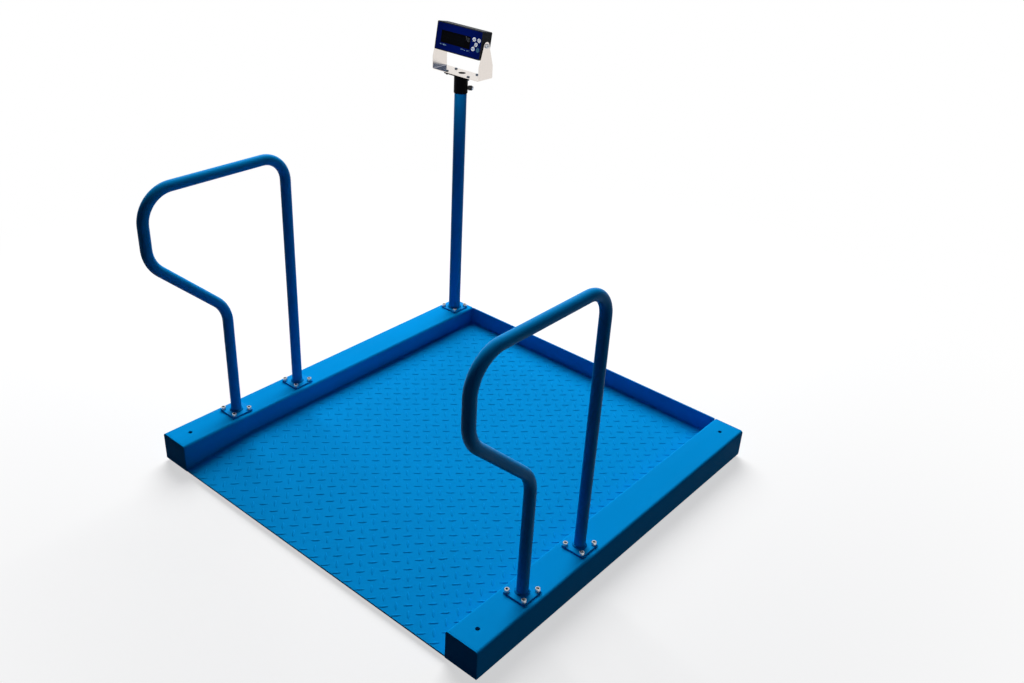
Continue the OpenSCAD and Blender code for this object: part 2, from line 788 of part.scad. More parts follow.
// A round lead along a route, as one closed mesh
module lead(corner_points, first_side) {
    p = rounded_route(corner_points, lead_bend_r);
    s = sides(p, first_side);
    n = 8;
    last = len(p) - 1;
    rings = [for (i = [0 : last], k = [0 : n - 1])
        let (a = 360 * k / n)
        p[i] + (s[i] * cos(a) + cross(along(p, i), s[i]) * sin(a)) * lead_d / 2];
    walls = [for (i = [0 : last - 1], k = [0 : n - 1]) let (j = (k + 1) % n)
        each [[i * n + k, (i + 1) * n + j, i * n + j], [i * n + k, (i + 1) * n + k, (i + 1) * n + j]]];
    caps = [[for (k = [0 : n - 1]) k], [for (k = [n - 1 : -1 : 0]) last * n + k]];
    polyhedron(points = rings, faces = concat(walls, caps));
}

// Each lead leaves its cell level, then climbs or drops to its next level
module cell_leads() color(black) placed() {
    lead([
        [-rail_x, front_lead_y, cell_mid_z], [-rail_x, front_lead_y + lead_stub, cell_mid_z],
        [-rail_x, front_lead_y + lead_stub + lead_climb, lead_z], [-rail_x, box_front, lead_z]
    ], [1, 0, 0]);
    lead([
        [-rail_x, rear_lead_y, cell_mid_z], [-rail_x, rear_lead_y - lead_stub, cell_mid_z],
        [-rail_x - entry_dx, rear_lead_y - lead_stub - lead_climb, lead_z],
        [-rail_x - entry_dx, box_rear, lead_z]
    ], [1, 0, 0]);
    lead([
        [rail_x, front_lead_y, cell_mid_z], [rail_x, front_lead_y + lead_stub, cell_mid_z],
        [rail_x, front_lead_y + lead_stub + lead_climb, lead_z],
        [rail_x, cross_y - cross_dy - lead_dip, lead_z],
        [rail_x, cross_y - cross_dy, cross_z], [-rail_x + entry_dx, cross_y - cross_dy, cross_z],
        [-rail_x + entry_dx, box_rear + box_stub, lead_z], [-rail_x + entry_dx, box_rear, lead_z]
    ], [1, 0, 0]);
    lead([
        [rail_x, rear_lead_y, cell_mid_z], [rail_x, rear_lead_y - lead_stub / 2, cell_mid_z],
        [rail_x, cross_y + cross_dy, cross_z], [-rail_x, cross_y + cross_dy, cross_z],
        [-rail_x, box_rear + box_stub, lead_z], [-rail_x, box_rear, lead_z]
    ], [1, 0, 0]);
}

module lead_clip() difference() {
    translate([-clip_w / 2, -clip_l / 2, -lead_d]) cube([clip_w, clip_l, rail_under - lead_z + lead_d]);
    rotate([90, 0, 0]) cylinder(d = lead_d + 2 * gap, h = 2 * clip_l, center = true, $fn = 24);
}

module lead_clips() color(black) placed()
    for (side = [-1, 1], y = [front_lead_y + 3 * lead_stub : clip_pitch : box_front - lead_stub])
        translate([side * rail_x, y, lead_z]) lead_clip();

// Post head

module at_post() translate([post_x, post_y, 0]) children();

module at_head() translate([post_x, head_y, 0]) children();

module at_bracket_screws()
    for (sx = [-1, 1], sy = [-1, 1])
        translate([sx * bracket_screw_x / 2, sy * bracket_screw_y / 2, 0]) children();

module swivel_collar() color(black) placed() difference() {
    union() {
        at_post() translate([0, 0, collar_bottom])
            cylinder(d = collar_d, h = collar_l + collar_plate_t / 2);
        at_head() translate([0, 0, collar_under]) linear_extrude(height = collar_plate_t)
            rounded_rect(collar_plate_w, collar_plate_d, collar_plate_r);
        at_clamp() cylinder(d = clamp_boss_d, h = boss_end);
    }
    at_post() translate([0, 0, collar_bottom - eps]) cylinder(d = post_d + 2 * fit, h = collar_l + eps);
    at_head() translate([0, 0, collar_under - eps])
        cylinder(d = cable_hole_d, h = collar_plate_t + 2 * eps);
    at_clamp() cylinder(d = clamp_d + 2 * fit, h = boss_end + eps, $fn = 32);
    at_head() at_bracket_screws() translate([0, 0, collar_under - eps])
        cylinder(d = bracket_screw_d + clear / 2, h = collar_plate_t + 2 * eps, $fn = 24);
}

module bracket_section() difference() {
    r = bracket_bend_r;
    inner_r = r - bracket_t;
    union() {
        translate([-bracket_w / 2, r]) square([bracket_w, pivot_h + ear_top_r]);
        translate([-bracket_w / 2 + r, 0]) square([bracket_w - 2 * r, 2 * r]);
        for (s = [-1, 1]) translate([s * (bracket_w / 2 - r), r]) circle(r = r);
    }
    translate([-ear_inner, r]) square([2 * ear_inner, 2 * pivot_h]);
    translate([-ear_inner + inner_r, bracket_t]) square([2 * (ear_inner - inner_r), 2 * r]);
    for (s = [-1, 1]) translate([s * (ear_inner - inner_r), r]) circle(r = inner_r);
}

// An ear's sides run straight up, then lean in towards the round top
module ear_outline() {
    half = bracket_d / 2;
    lean = atan2(half - ear_top_r, pivot_h - ear_shoulder_z);
    top_x = ear_top_r * cos(lean);
    top_z = pivot_h + ear_top_r * sin(lean);
    polygon([
        [-half, 0], [half, 0], [half, ear_shoulder_z], [top_x, top_z],
        [-top_x, top_z], [-half, ear_shoulder_z]
    ]);
    translate([0, pivot_h]) circle(r = ear_top_r);
}

module indicator_bracket() color(steel) placed() at_head() translate([0, 0, bracket_z]) difference() {
    intersection() {
        along_y(bracket_d + 2) bracket_section();
        along_x(bracket_w + 2) ear_outline();
    }
    translate([0, 0, -eps]) cylinder(d = cable_hole_d, h = bracket_t + 2 * eps);
    at_bracket_screws() translate([0, 0, -eps])
        cylinder(d = bracket_screw_d + clear / 2, h = bracket_t + 2 * eps, $fn = 24);
    translate([0, 0, pivot_h]) rotate([0, 90, 0])
        cylinder(d = tilt_screw_d + 2 * fit, h = bracket_w + 2, center = true, $fn = 32);
}

module bracket_screws() color(black) placed() at_head() at_bracket_screws() {
    plate_top = bracket_z + bracket_t;
    nut_h = bracket_screw_d * 0.8;
    // Button heads with their hexagon sockets
    translate([0, 0, plate_top]) difference() {
        cylinder(d = 1.9 * bracket_screw_d, h = bracket_screw_d * 0.55, $fn = 32);
        translate([0, 0, bracket_screw_d * 0.25]) hex_prism(bracket_screw_d * 0.6, bracket_screw_d);
    }
    translate([0, 0, collar_under - 1.4 * nut_h])
        cylinder(d = bracket_screw_d, h = plate_top - collar_under + 1.4 * nut_h, $fn = 24);
    translate([0, 0, collar_under - nut_h]) hex_prism(1.6 * bracket_screw_d, nut_h);
}

module at_clamp() translate([post_x, post_y, clamp_height])
    rotate([0, 0, clamp_turn]) rotate([0, 90, 0]) children();

module clamp_screw() color(steel) placed() at_clamp() {
    translate([0, 0, clamp_start]) cylinder(d = clamp_d, h = knob_end - clamp_start, $fn = 32);
    // Cap with a bevelled end
    translate([0, 0, knob_end]) cylinder(d = clamp_cap_d, h = clamp_cap_rim);
    translate([0, 0, knob_end + clamp_cap_rim])
        cylinder(d1 = clamp_cap_d, d2 = clamp_cap_end_d, h = clamp_cap_h - clamp_cap_rim);
}

module clamp_knob() color(black) placed() at_clamp() difference() {
    translate([0, 0, knob_start]) cylinder(d = knob_d, h = knob_l);
    translate([0, 0, knob_start - eps]) cylinder(d = clamp_d, h = knob_l + 2 * eps, $fn = 32);
}

// Indicator, drawn upright in its own frame and then leant back

module in_indicator() placed() translate([post_x, head_y, pivot_z]) rotate([-tilt, 0, 0]) children();

// A 2D outline of the face, pushed into the housing from y
module from_face(y, depth) translate([0, y + depth, housing_z]) rotate([90, 0, 0])
    linear_extrude(height = depth) children();

module housing_outline(inset)
    rounded_rect(housing_w - 2 * inset, housing_h - 2 * inset, max(housing_r - inset, 1));

module at_pillars()
    for (sx = [-1, 1], sz = [-1, 1])
        translate([sx * (housing_w / 2 - pillar_inset), sz * (housing_h / 2 - pillar_inset)]) children();

module at_key(spot) translate([keys_x + spot[0] * key_dx, spot[1] * key_dz]) children();

module window_outline(grow) translate([-window_x, 0])
    rounded_rect(window_w + 2 * grow, window_h + 2 * grow, window_r);

module key_holes() for (k = key_spots) at_key(k) circle(d = key_d + 2 * key_clear);

module at_board_posts()
    for (sx = [-1, 1], sz = [-1, 1])
        translate([-window_x + sx * board_post_x, sz * board_post_z]) children();

module at_key_posts() translate([keys_x, 0])
    for (a = [0 : 90 : 270])
        translate([cos(a) * (key_board_w - key_post_d) / 2, sin(a) * (key_board_h - key_post_d) / 2])
            children();

module housing_front() color(black) in_indicator() difference() {
    union() {
        difference() {
            from_face(face_y, front_shell_d) housing_outline(0);
            from_face(front_wall_y, front_shell_d) housing_outline(housing_wall);
        }
        from_face(front_wall_y - eps, split_y - front_wall_y + eps) at_pillars() circle(d = pillar_d);
        from_face(front_wall_y - eps, main_board_y - front_wall_y + eps) at_board_posts()
            circle(d = board_post_d);
        from_face(front_wall_y - eps, key_board_y - front_wall_y + eps) at_key_posts()
            circle(d = key_post_d);
        // Lugs inside the ends, which the tilt screws thread into
        for (s = [-1, 1]) translate([s * (housing_w / 2 - tilt_grip / 2), 0, 0])
            cube([tilt_grip, tilt_lug, tilt_lug], center = true);
    }
    from_face(face_y - eps, overlay_t + eps)
        rounded_rect(overlay_w + 2 * fit, overlay_h + 2 * fit, overlay_r);
    from_face(face_y, 2 * housing_wall) {
        window_outline(fit);
        key_holes();
    }
    from_face(split_y - screw_grip, screw_grip + eps) at_pillars()
        circle(d = screw_d + 2 * fit, $fn = 24);
    rotate([0, 90, 0])
        cylinder(d = tilt_screw_d + 2 * fit, h = housing_w + 2, center = true, $fn = 32);
}

module housing_back() color(black) in_indicator() difference() {
    union() {
        difference() {
            from_face(back_start, housing_back_y - back_start) housing_outline(0);
            from_face(back_start - eps, back_inner_y - back_start + eps) housing_outline(housing_wall);
        }
        from_face(back_start, housing_back_y - back_start) at_pillars() circle(d = pillar_d + 1);
    }
    from_face(back_start - eps, housing_d) at_pillars() circle(d = screw_d + clear / 2, $fn = 24);
    from_face(housing_back_y - screw_sink, screw_sink + eps) at_pillars()
        circle(d = screw_head_d + clear / 2, $fn = 32);
    from_face(back_inner_y - eps, housing_wall + 2 * eps) {
        translate([-gland_x, gland_z]) circle(d = gland_d + 2 * fit);
        translate([gland_x, gland_z]) circle(d = socket_d + 2 * fit, $fn = 32);
    }
}

module housing_seal() color(black) in_indicator() from_face(split_y, seal_t) difference() {
    housing_outline(0.4);
    housing_outline(housing_wall);
}

module housing_screws() color(steel) in_indicator() {
    head_y = housing_back_y - screw_sink;
    from_face(head_y, 0.8 * screw_sink) at_pillars() circle(d = screw_head_d, $fn = 32);
    from_face(split_y - screw_grip, head_y - split_y + screw_grip) at_pillars()
        circle(d = screw_d, $fn = 24);
}

module face_overlay() color(navy) in_indicator() from_face(face_y, overlay_t) difference() {
    rounded_rect(overlay_w, overlay_h, overlay_r);
    window_outline(fit);
    key_holes();
}

module display_window() color(black) in_indicator() from_face(face_y, window_t) window_outline(0);

module display_module() color(black) in_indicator() {
    from_face(module_y, module_d) window_outline(-1);
    from_face(module_y + module_d, board_t) window_outline(2);
}

module key_board() color(green) in_indicator() {
    from_face(key_board_y, board_t) translate([keys_x, 0])
        square([key_board_w, key_board_h], center = true);
    from_face(switch_face_y, switch_h) for (k = key_spots) at_key(k) square(switch_w, center = true);
}

module main_board() color(green) in_indicator() {
    from_face(main_board_y, board_t)
        square([housing_w - 4 * pillar_inset, main_board_h], center = true);
    from_face(main_board_y - chip_t, chip_t) for (x = chip_xs) translate([x, chip_w])
        square([chip_w, 0.8 * chip_w], center = true);
}

module battery() color(ivory) in_indicator() from_face(back_inner_y - battery_d, battery_d)
    translate([0, battery_lift]) rounded_rect(battery_w, battery_h, battery_r);

// A round fitting in the back cover, its axis pointing out
module in_back(x) in_indicator() translate([x, 0, gland_z + housing_z]) rotate([-90, 0, 0]) children();

module cable_gland() color(black) in_back(-gland_x) difference() {
    union() {
        translate([0, 0, back_inner_y - gland_flange_t])
            cylinder(d = gland_d + gland_flange_t, h = gland_flange_t);
        translate([0, 0, back_inner_y]) cylinder(d = gland_d, h = housing_wall + eps);
        translate([0, 0, housing_back_y]) hex_prism(gland_d + gland_flange_t, gland_nut_t);
        translate([0, 0, housing_back_y + gland_nut_t])
            cylinder(d1 = gland_d + 2, d2 = 1.5 * gland_bore_d, h = gland_cap_h);
    }
    translate([0, 0, back_inner_y - gland_flange_t - eps]) cylinder(d = gland_bore_d, h = housing_d);
}

module power_socket() color(black) in_back(gland_x) difference() {
    union() {
        translate([0, 0, back_inner_y - socket_depth])
            cylinder(d = socket_d + socket_rim, h = socket_depth);
        translate([0, 0, back_inner_y]) cylinder(d = socket_d, h = housing_wall, $fn = 32);
        translate([0, 0, housing_back_y])
            cylinder(d = socket_d + 2 * socket_rim, h = socket_rim, $fn = 32);
    }
    translate([0, 0, back_inner_y - socket_depth + socket_floor])
        cylinder(d = socket_bore_d, h = housing_d, $fn = 32);
}

module tilt_screws() color(steel) in_indicator() for (s = [-1, 1]) rotate([0, s * 90, 0]) {
    grip_start = housing_w / 2 - tilt_grip;
    translate([0, 0, grip_start]) cylinder(d = tilt_screw_d, h = head_start - grip_start, $fn = 32);
    translate([0, 0, housing_w / 2]) difference() {
        cylinder(d = tilt_head_d, h = washer_t);
        translate([0, 0, -eps]) cylinder(d = tilt_screw_d, h = 2 * eps + washer_t, $fn = 32);
    }
    translate([0, 0, head_start]) difference() {
        cylinder(d = tilt_head_d, h = tilt_head_h);
        translate([0, 0, tilt_head_h / 2]) hex_prism(tilt_screw_d * 0.8, tilt_head_h);
    }
}

module key(i) color(ivory) in_indicator() {
    from_face(face_y - key_proud, front_wall_y - face_y + key_proud + eps)
        at_key(key_spots[i]) circle(d = key_d);
    from_face(front_wall_y + fit, key_flange - fit) at_key(key_spots[i]) circle(d = key_flange_d);
}

module key_zero() key(0);
module key_tare() key(1);
module key_hold() key(2);
module key_print() key(3);
module key_power() key(4);

deck_plate();
deck_ribs();
left_rail();
right_rail();
rail_end_plates();
rear_wall();
deck_welds();
handrail_left();
handrail_right();
handrail_feet_left();
handrail_feet_right();
flange_bolts();
flange_nuts();
post_tube();
post_foot();
load_cell_front_left();
load_cell_front_right();
load_cell_rear_left();
load_cell_rear_right();
cell_spacers();
cell_bolts();
lock_nuts();
foot_stud_front_left();
foot_stud_front_right();
foot_stud_rear_left();
foot_stud_rear_right();
foot_sole_front_left();
foot_sole_front_right();
foot_sole_rear_left();
foot_sole_rear_right();
junction_box();
junction_lid();
junction_board();
junction_screws();
cell_leads();
lead_clips();
swivel_collar();
indicator_bracket();
bracket_screws();
clamp_screw();
clamp_knob();
housing_front();
housing_back();
housing_seal();
housing_screws();
face_overlay();
display_window();
display_module();
key_board();
main_board();
battery();
cable_gland();
power_socket();
tilt_screws();
key_zero();
key_tare();
key_hold();
key_print();
key_power();
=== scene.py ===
"""Wheelchair scale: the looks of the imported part, as a Blender add-on that is run as a script.

Every piece is made by an operator from named sizes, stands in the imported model's own frame in
metres, and rides on the body that carries it.
"""

import json
import math

import bmesh
import bpy
import numpy as np
from bpy.props import FloatProperty, FloatVectorProperty, IntProperty, PointerProperty
from mathutils import Matrix, Vector

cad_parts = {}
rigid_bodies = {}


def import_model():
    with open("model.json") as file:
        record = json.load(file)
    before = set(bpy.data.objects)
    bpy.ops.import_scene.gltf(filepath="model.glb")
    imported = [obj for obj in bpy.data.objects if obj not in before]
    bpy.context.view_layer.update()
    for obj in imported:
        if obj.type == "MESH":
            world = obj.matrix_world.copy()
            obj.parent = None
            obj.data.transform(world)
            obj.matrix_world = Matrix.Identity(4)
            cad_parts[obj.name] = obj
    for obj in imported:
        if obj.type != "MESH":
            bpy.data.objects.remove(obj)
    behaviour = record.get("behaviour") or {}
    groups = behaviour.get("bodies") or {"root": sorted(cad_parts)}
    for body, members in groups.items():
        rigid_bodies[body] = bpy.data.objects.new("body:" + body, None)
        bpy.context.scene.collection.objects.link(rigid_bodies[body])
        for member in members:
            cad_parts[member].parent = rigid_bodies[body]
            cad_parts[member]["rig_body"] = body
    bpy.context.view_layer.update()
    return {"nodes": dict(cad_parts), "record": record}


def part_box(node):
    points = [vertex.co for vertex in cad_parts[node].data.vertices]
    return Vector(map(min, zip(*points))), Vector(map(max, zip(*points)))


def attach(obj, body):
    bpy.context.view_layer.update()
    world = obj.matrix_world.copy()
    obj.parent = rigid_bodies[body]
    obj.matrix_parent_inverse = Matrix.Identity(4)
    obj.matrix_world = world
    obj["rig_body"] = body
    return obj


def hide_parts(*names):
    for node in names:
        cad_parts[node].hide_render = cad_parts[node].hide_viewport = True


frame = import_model()
NODES = frame["nodes"]

bl_info = {
    "name": "Wheelchair scale",
    "version": (1, 0, 0),
    "blender": (4, 5, 0),
    "location": "3D View > Sidebar > Scale",
    "description": "Builds a tread-plate wheelchair scale with its handrails and indicator",
    "category": "Object",
}

MM = 0.001
SEED = 7
CREASE = math.radians(35)
SHARP_CREASE = math.radians(28)
CORNERS = [(x, y) for x in (-1, 1) for y in (-1, 1)]

# Places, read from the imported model
RAIL_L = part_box("left_rail")
RAIL_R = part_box("right_rail")
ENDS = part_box("rail_end_plates")
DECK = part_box("deck_plate")
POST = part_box("post_tube")
RAIL_TOP = RAIL_L[1].z
FRONT_Y = ENDS[0].y
POST_X = (POST[0].x + POST[1].x) / 2
POST_Y = (POST[0].y + POST[1].y) / 2
POST_R = (POST[1].x - POST[0].x) / 2
LEFT_X = (RAIL_L[0].x + RAIL_L[1].x) / 2
RIGHT_X = (RAIL_R[0].x + RAIL_R[1].x) / 2
CENTRE = Vector(((RAIL_L[0].x + RAIL_R[1].x) / 2, (ENDS[0].y + ENDS[1].y) / 2, 0))
JOINTS = {joint["name"]: joint for joint in frame["record"]["behaviour"]["joints"]}
PRESS = Vector(JOINTS["key_zero_press"]["axis"])
TILTED = Matrix.Translation(JOINTS["indicator_tilt"]["pos_m"]) @ Matrix.Rotation(
    math.atan2(PRESS.z, PRESS.y), 4, "X")
CLAMP_AXIS = Vector(JOINTS["clamp_screw_out"]["axis"])
CLAMP_Z = sum(v.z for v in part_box("clamp_knob")) / 2

# Corners of each load cell's lead, in mm from the floor under the platform's middle
LEAD_ROUTES = (
    ((-551, -431, 48), (-551, -391, 48), (-551, -341, 66), (-551, 148.25, 66)),
    ((-551, 431, 48), (-551, 391, 48), (-561, 341, 66), (-561, 253.25, 66)),
    ((551, -431, 48), (551, -391, 48), (551, -341, 66), (551, 249.75, 66), (551, 309.75, 18.25),
     (-541, 309.75, 18.25), (-541, 268.25, 66), (-541, 253.25, 66)),
    ((551, 431, 48), (551, 411, 48), (551, 321.75, 18.25), (-551, 321.75, 18.25),
     (-551, 268.25, 66), (-551, 253.25, 66)),
)


def maths_of(operation, turned=False):
    """A method that adds a Math node of two values."""
    def method(self, other):
        return self.maths(operation, *((other, self) if turned else (self, other)))
    return method


class Socket:
    """An output socket that adds Math nodes when it is used in an expression."""

    __add__ = __radd__ = maths_of("ADD")
    __sub__ = maths_of("SUBTRACT")
    __rsub__ = maths_of("SUBTRACT", turned=True)
    __mul__ = __rmul__ = maths_of("MULTIPLY")
    __pow__ = maths_of("POWER")
    __lt__ = maths_of("LESS_THAN")
    __gt__ = maths_of("GREATER_THAN")
    at_least = maths_of("MAXIMUM")

    def __init__(self, tree, socket):
        self.tree = tree
        self.socket = socket

    def __neg__(self):
        return self * -1

    def maths(self, operation, *values):
        return self.tree.add("ShaderNodeMath", *values, settings={"operation": operation})

    def sin(self):
        return self.maths("SINE", self)

    def atan(self):
        return self.maths("ARCTANGENT", self)

    def smooth(self, low, high, first=0.0, last=1.0):
        """Runs smoothly from first to last as the value goes from low to high."""
        return self.tree.add("ShaderNodeMapRange", self, low, high, first, last,
                             settings={"interpolation_type": "SMOOTHSTEP"})


class Tree:
    """A node tree in the making. add() makes one node and returns its output."""

    def __init__(self, tree):
        self.nodes = tree.nodes
        self.links = tree.links

    def node(self, kind, *values, settings=None, **named):
        """Makes a node and fills its sockets, in order or by name with _ for each space."""
        made = self.nodes.new(kind)
        for key, value in (settings or {}).items():
            setattr(made, key, value)
        for socket, value in zip([s for s in made.inputs if s.enabled], values):
            self.fill(socket, value)
        for key, value in named.items():
            self.fill(made.inputs[key.replace("_", " ")], value)
        return made

    def fill(self, socket, value):
        if isinstance(value, Socket):
            self.links.new(value.socket, socket)
        elif socket.type == "RGBA" and len(value) == 3:
            socket.default_value = (*value, 1.0)
        else:
            socket.default_value = value

    def add(self, kind, *values, out=None, **named):
        made = self.node(kind, *values, **named)
        first = [s for s in made.outputs if s.enabled][0]
        return Socket(self, made.outputs[out] if out else first)

    def parts(self, vector):
        return [Socket(self, s) for s in self.node("ShaderNodeSeparateXYZ", vector).outputs]

    def vector(self, x, y, z):
        return self.add("ShaderNodeCombineXYZ", x, y, z)

    def mix(self, factor, first, second):
        return self.add("ShaderNodeMix", out="Result", settings={"data_type": "RGBA"},
                        Factor=factor, A=first, B=second)

    def surface(self, kind, shader):
        self.links.new(shader.socket, self.nodes.new(kind).inputs["Surface"])


class Finish(Tree):
    """A material made of one Principled shader, with its noise and bump helpers."""

    def __init__(self, name):
        self.material = bpy.data.materials.new(name)
        self.material.use_nodes = True
        self.material.node_tree.nodes.clear()
        super().__init__(self.material.node_tree)
        self.coords = self.add("ShaderNodeTexCoord", out="Object")

    def noise(self, scale, detail=2.0, rough=0.5, stretch=None):
        where = self.coords
        if stretch:
            where = self.add("ShaderNodeMapping", Vector=where, Scale=stretch)
        return self.add("ShaderNodeTexNoise", out="Fac",
                        Vector=where, Scale=scale, Detail=detail, Roughness=rough)

    def tones(self, factor, base, low, high):
        """A colour that runs between a darker and a lighter tone of the base."""
        return self.mix(factor, *(tuple(min(1, tone * c) for c in base) for tone in (low, high)))

    def bump(self, height, strength, distance):
        return self.add("ShaderNodeBump", out="Normal",
                        Height=height, Strength=strength, Distance=distance)

    def shader(self, **sockets):
        shader = self.add("ShaderNodeBsdfPrincipled", out="BSDF", **sockets)
        self.surface("ShaderNodeOutputMaterial", shader)
        return self.material


def length(name, description, size):
    """A length property, its size given in mm."""
    return FloatProperty(name=name, description=description, default=size * MM, unit="LENGTH")


def angle(name, description, degrees):
    return FloatProperty(name=name, description=description, default=math.radians(degrees),
                         subtype="ANGLE")


def colour(name, description, value):
    return FloatVectorProperty(name=name, description=description, default=value, size=3,
                               subtype="COLOR", min=0, max=1)


class ScalePlatform(bpy.types.PropertyGroup):
    """Sizes of the platform's tread and weld beads"""

    lug_pitch_x: length("Lug pitch across", "Spacing of like lugs across the deck", 42.6)
    lug_pitch_y: length("Lug pitch along", "Spacing of like lugs along the deck", 41.5)
    lug_first_x: length(
        "First lug across", "Distance of a lug from the left rail's outer face", 505.5)
    lug_first_y: length("First lug along", "Distance of the first lug from the front edge", 10.3)
    lug_length: length("Lug length", "Length of a raised lug", 28.5)
    lug_width: length("Lug width", "Width of a raised lug", 8.0)
    lug_height: length("Lug height", "How far a lug stands up", 1.6)
    ramp_length: length("Slope length", "Length of the entry slope", 225)
    ramp_lip: length("Slope lip", "Height of the slope's front edge above the rails' underside", 7)
    bead_leg: length("Weld leg", "Leg length of a weld bead", 4)
    bead_pitch: length("Weld ripple", "Spacing of a weld bead's ripples", 3.2)


class ScaleTubes(bpy.types.PropertyGroup):
    """Sizes of the handrails, the post and their fixings"""

    tube_d: length("Tube", "Diameter of the handrail tube", 30)
    front_leg: length("Front leg", "Distance of the front leg from the rail's front end", 213)
    rear_leg: length("Rear leg", "Distance of the rear leg from the rail's front end", 440)
    upright: length("Upright", "Distance of the upright from the rail's front end", -4)
    top_bar: length("Top bar", "Height of the top bar's axis", 831)
    low_knee: length("Lower knee", "Height of the lower knee's corner", 437)
    high_knee: length("Upper knee", "Height of the upper knee's corner", 639)
    knee_r: length("Knee bend", "Bend radius of the knees", 98)
    front_r: length("Front bend", "Bend radius at the front of the top bar", 88)
    rear_r: length("Rear bend", "Bend radius at the rear of the top bar", 75)
    flange_t: length("Flange", "Thickness of a flange", 5)
    bolt_pitch: length("Bolt spacing", "Spacing of a flange's bolts", 52)
    head_d: length("Bolt head", "Diameter of a flange bolt's head", 13)
    head_h: length("Bolt head height", "Height of a flange bolt's head", 8)
    sides: IntProperty(
        name="Tube sides", description="Number of sides of the round tubes", default=48, min=12
    )


class ScaleIndicator(bpy.types.PropertyGroup):
    """Sizes of the indicator's face, keys, screws and clamp"""

    width: length("Width", "Width of the housing", 193)
    height: length("Height", "Height of the housing", 87)
    depth: length("Depth", "Depth of the housing", 42)
    drop: length("Drop", "How far the housing's middle is below the tilt axis", 2)
    key_x: length("Keys across", "Place of the keys' middle from the face's middle", 74)
    key_dx: length("Key step across", "Half the spacing of two keys of a row", 10)
    key_dz: length("Key step up", "Spacing of the rows of keys", 14.3)
    key_d: length("Key", "Diameter of a key", 13.5)
    key_proud: length("Key height", "How far a key stands out of the face", 0.9)
    window_left: length("Window left", "Place of the window's left edge", -74.5)
    digit_w: length("Digit width", "Width of a display digit", 10.5)
    digit_h: length("Digit height", "Height of a display digit", 24)
    head_start: length("Tilt screw place", "Distance of a tilt screw's head from the middle", 99.8)
    head_d: length("Tilt screw head", "Diameter of a tilt screw's head", 13)
    head_h: length("Tilt screw head height", "Height of a tilt screw's head", 5)
    knob_start: length("Knob place", "Distance of the clamp knob from the post's axis", 24.3)
    knob_l: length("Knob length", "Length of the clamp knob", 12)
    knob_d: length("Knob", "Diameter of the clamp knob", 16)


class ScaleFinishes(bpy.types.PropertyGroup):
    """Colours of the finishes"""

    powder: colour("Powder coat", "Colour of the powder coat", (0.001, 0.270, 0.675))
    zinc: colour("Zinc", "Colour of the zinc-plated screws", (0.62, 0.64, 0.66))
    bracket: colour("Bracket steel", "Colour of the bracket's steel", (0.80, 0.74, 0.69))
    housing: colour("Housing", "Colour of the indicator's housing", (0.004, 0.005, 0.007))
    overlay: colour("Overlay", "Colour of the face overlay", (0.0002, 0.0062, 0.100))
    legend: colour("Legend", "Colour of the printed marks", (0.45, 0.75, 1.0))


class ScaleStage(bpy.types.PropertyGroup):
    """The camera and the light"""

    azimuth: angle("Azimuth", "Camera azimuth", 37.66)
    elevation: angle("Elevation", "Camera elevation", 29.65)
    roll: angle("Roll", "Camera roll", 4.02)
    place: FloatVectorProperty(
        name="Place", description="Camera place", default=(1.64465, -1.8136, 1.7981),
        subtype="XYZ", unit="LENGTH",
    )
    lens: FloatProperty(name="Lens", description="Focal length in mm", default=35.43)
    key: FloatProperty(
        name="Key light", description="Strength of the large soft light", default=4.95)
    distance: length("Key distance", "Distance of the large soft light", 6000)
    rim: FloatProperty(
        name="Rim light", description="Strength of the light from the side", default=0.24)
    fill: FloatProperty(
        name="Fill light", description="Strength of the surrounding light", default=0.022)
    face: FloatProperty(
        name="Face light", description="Power of the light on the indicator", default=14.0)


def finish(default_name):
    """Turns a function that fills a Finish into one that makes each named material once."""
    def wrap(fill):
        def found_or_made(name=default_name, *values, **options):
            return bpy.data.materials.get(name) or fill(Finish(name), *values, **options)
        return found_or_made
    return wrap


def chosen(name):
    """A colour that the panel sets."""
    return tuple(getattr(bpy.context.scene.scale_finishes, name))


@finish("powder_coat_blue")
def powder_coat(f, tone=1.0, gloss=0.006):
    base = [tone * c for c in chosen("powder")]
    cloudy = f.noise(5.0, 3.0).smooth(0.3, 0.7)
    peel = f.noise(420.0, 2.0, 0.45)
    scuffs = f.noise(60.0, 4.0, 0.6, stretch=(1.0, 0.25, 1.0)).smooth(0.55, 0.8)
    return f.shader(
        Base_Color=f.tones(cloudy, base, 0.98, 1.02), Specular_IOR_Level=gloss,
        Roughness=0.40 + 0.07 * cloudy + 0.06 * scuffs, Normal=f.bump(peel, 0.12, 0.0006))


@finish("zinc_plate")
def zinc_plate(f):
    patches = f.noise(220.0, 3.0, 0.6)
    return f.shader(
        Base_Color=f.tones(patches, chosen("zinc"), 0.85, 1), Metallic=1.0,
        Roughness=0.26 + 0.14 * patches, Normal=f.bump(f.noise(1500.0, 2.0), 0.1, 0.0002))


# Painted shade: a near-black colour put where only shade falls, in the hex sockets of the screws
# and inside the post tube.
@finish("socket_shade")
def dark_hole(f):
    soft = f.noise(300.0)
    return f.shader(
        Base_Color=f.mix(soft, (0.004, 0.004, 0.006), (0.012, 0.012, 0.015)),
        Roughness=0.7 + 0.1 * soft, Specular_IOR_Level=0.2)


@finish("brushed_steel")
def brushed_bracket(f):
    grain = f.noise(60.0, 5.0, 0.7, stretch=(1.0, 24.0, 24.0))
    hazy = f.noise(14.0, 2.0)
    return f.shader(
        Base_Color=f.tones(grain, chosen("bracket"), 0.9, 1.04), Metallic=1.0,
        Roughness=0.15 + 0.08 * grain + 0.05 * hazy, Normal=f.bump(grain, 0.10, 0.0002))


@finish("black_powder_coat")
def black_coat(f):
    cloudy = f.noise(9.0, 2.0)
    return f.shader(
        Base_Color=f.mix(cloudy, (0.001, 0.001, 0.0015), (0.003, 0.003, 0.004)),
        Roughness=0.30 + 0.1 * cloudy, Specular_IOR_Level=0.02,
        Normal=f.bump(f.noise(700.0, 2.0), 0.15, 0.0004))


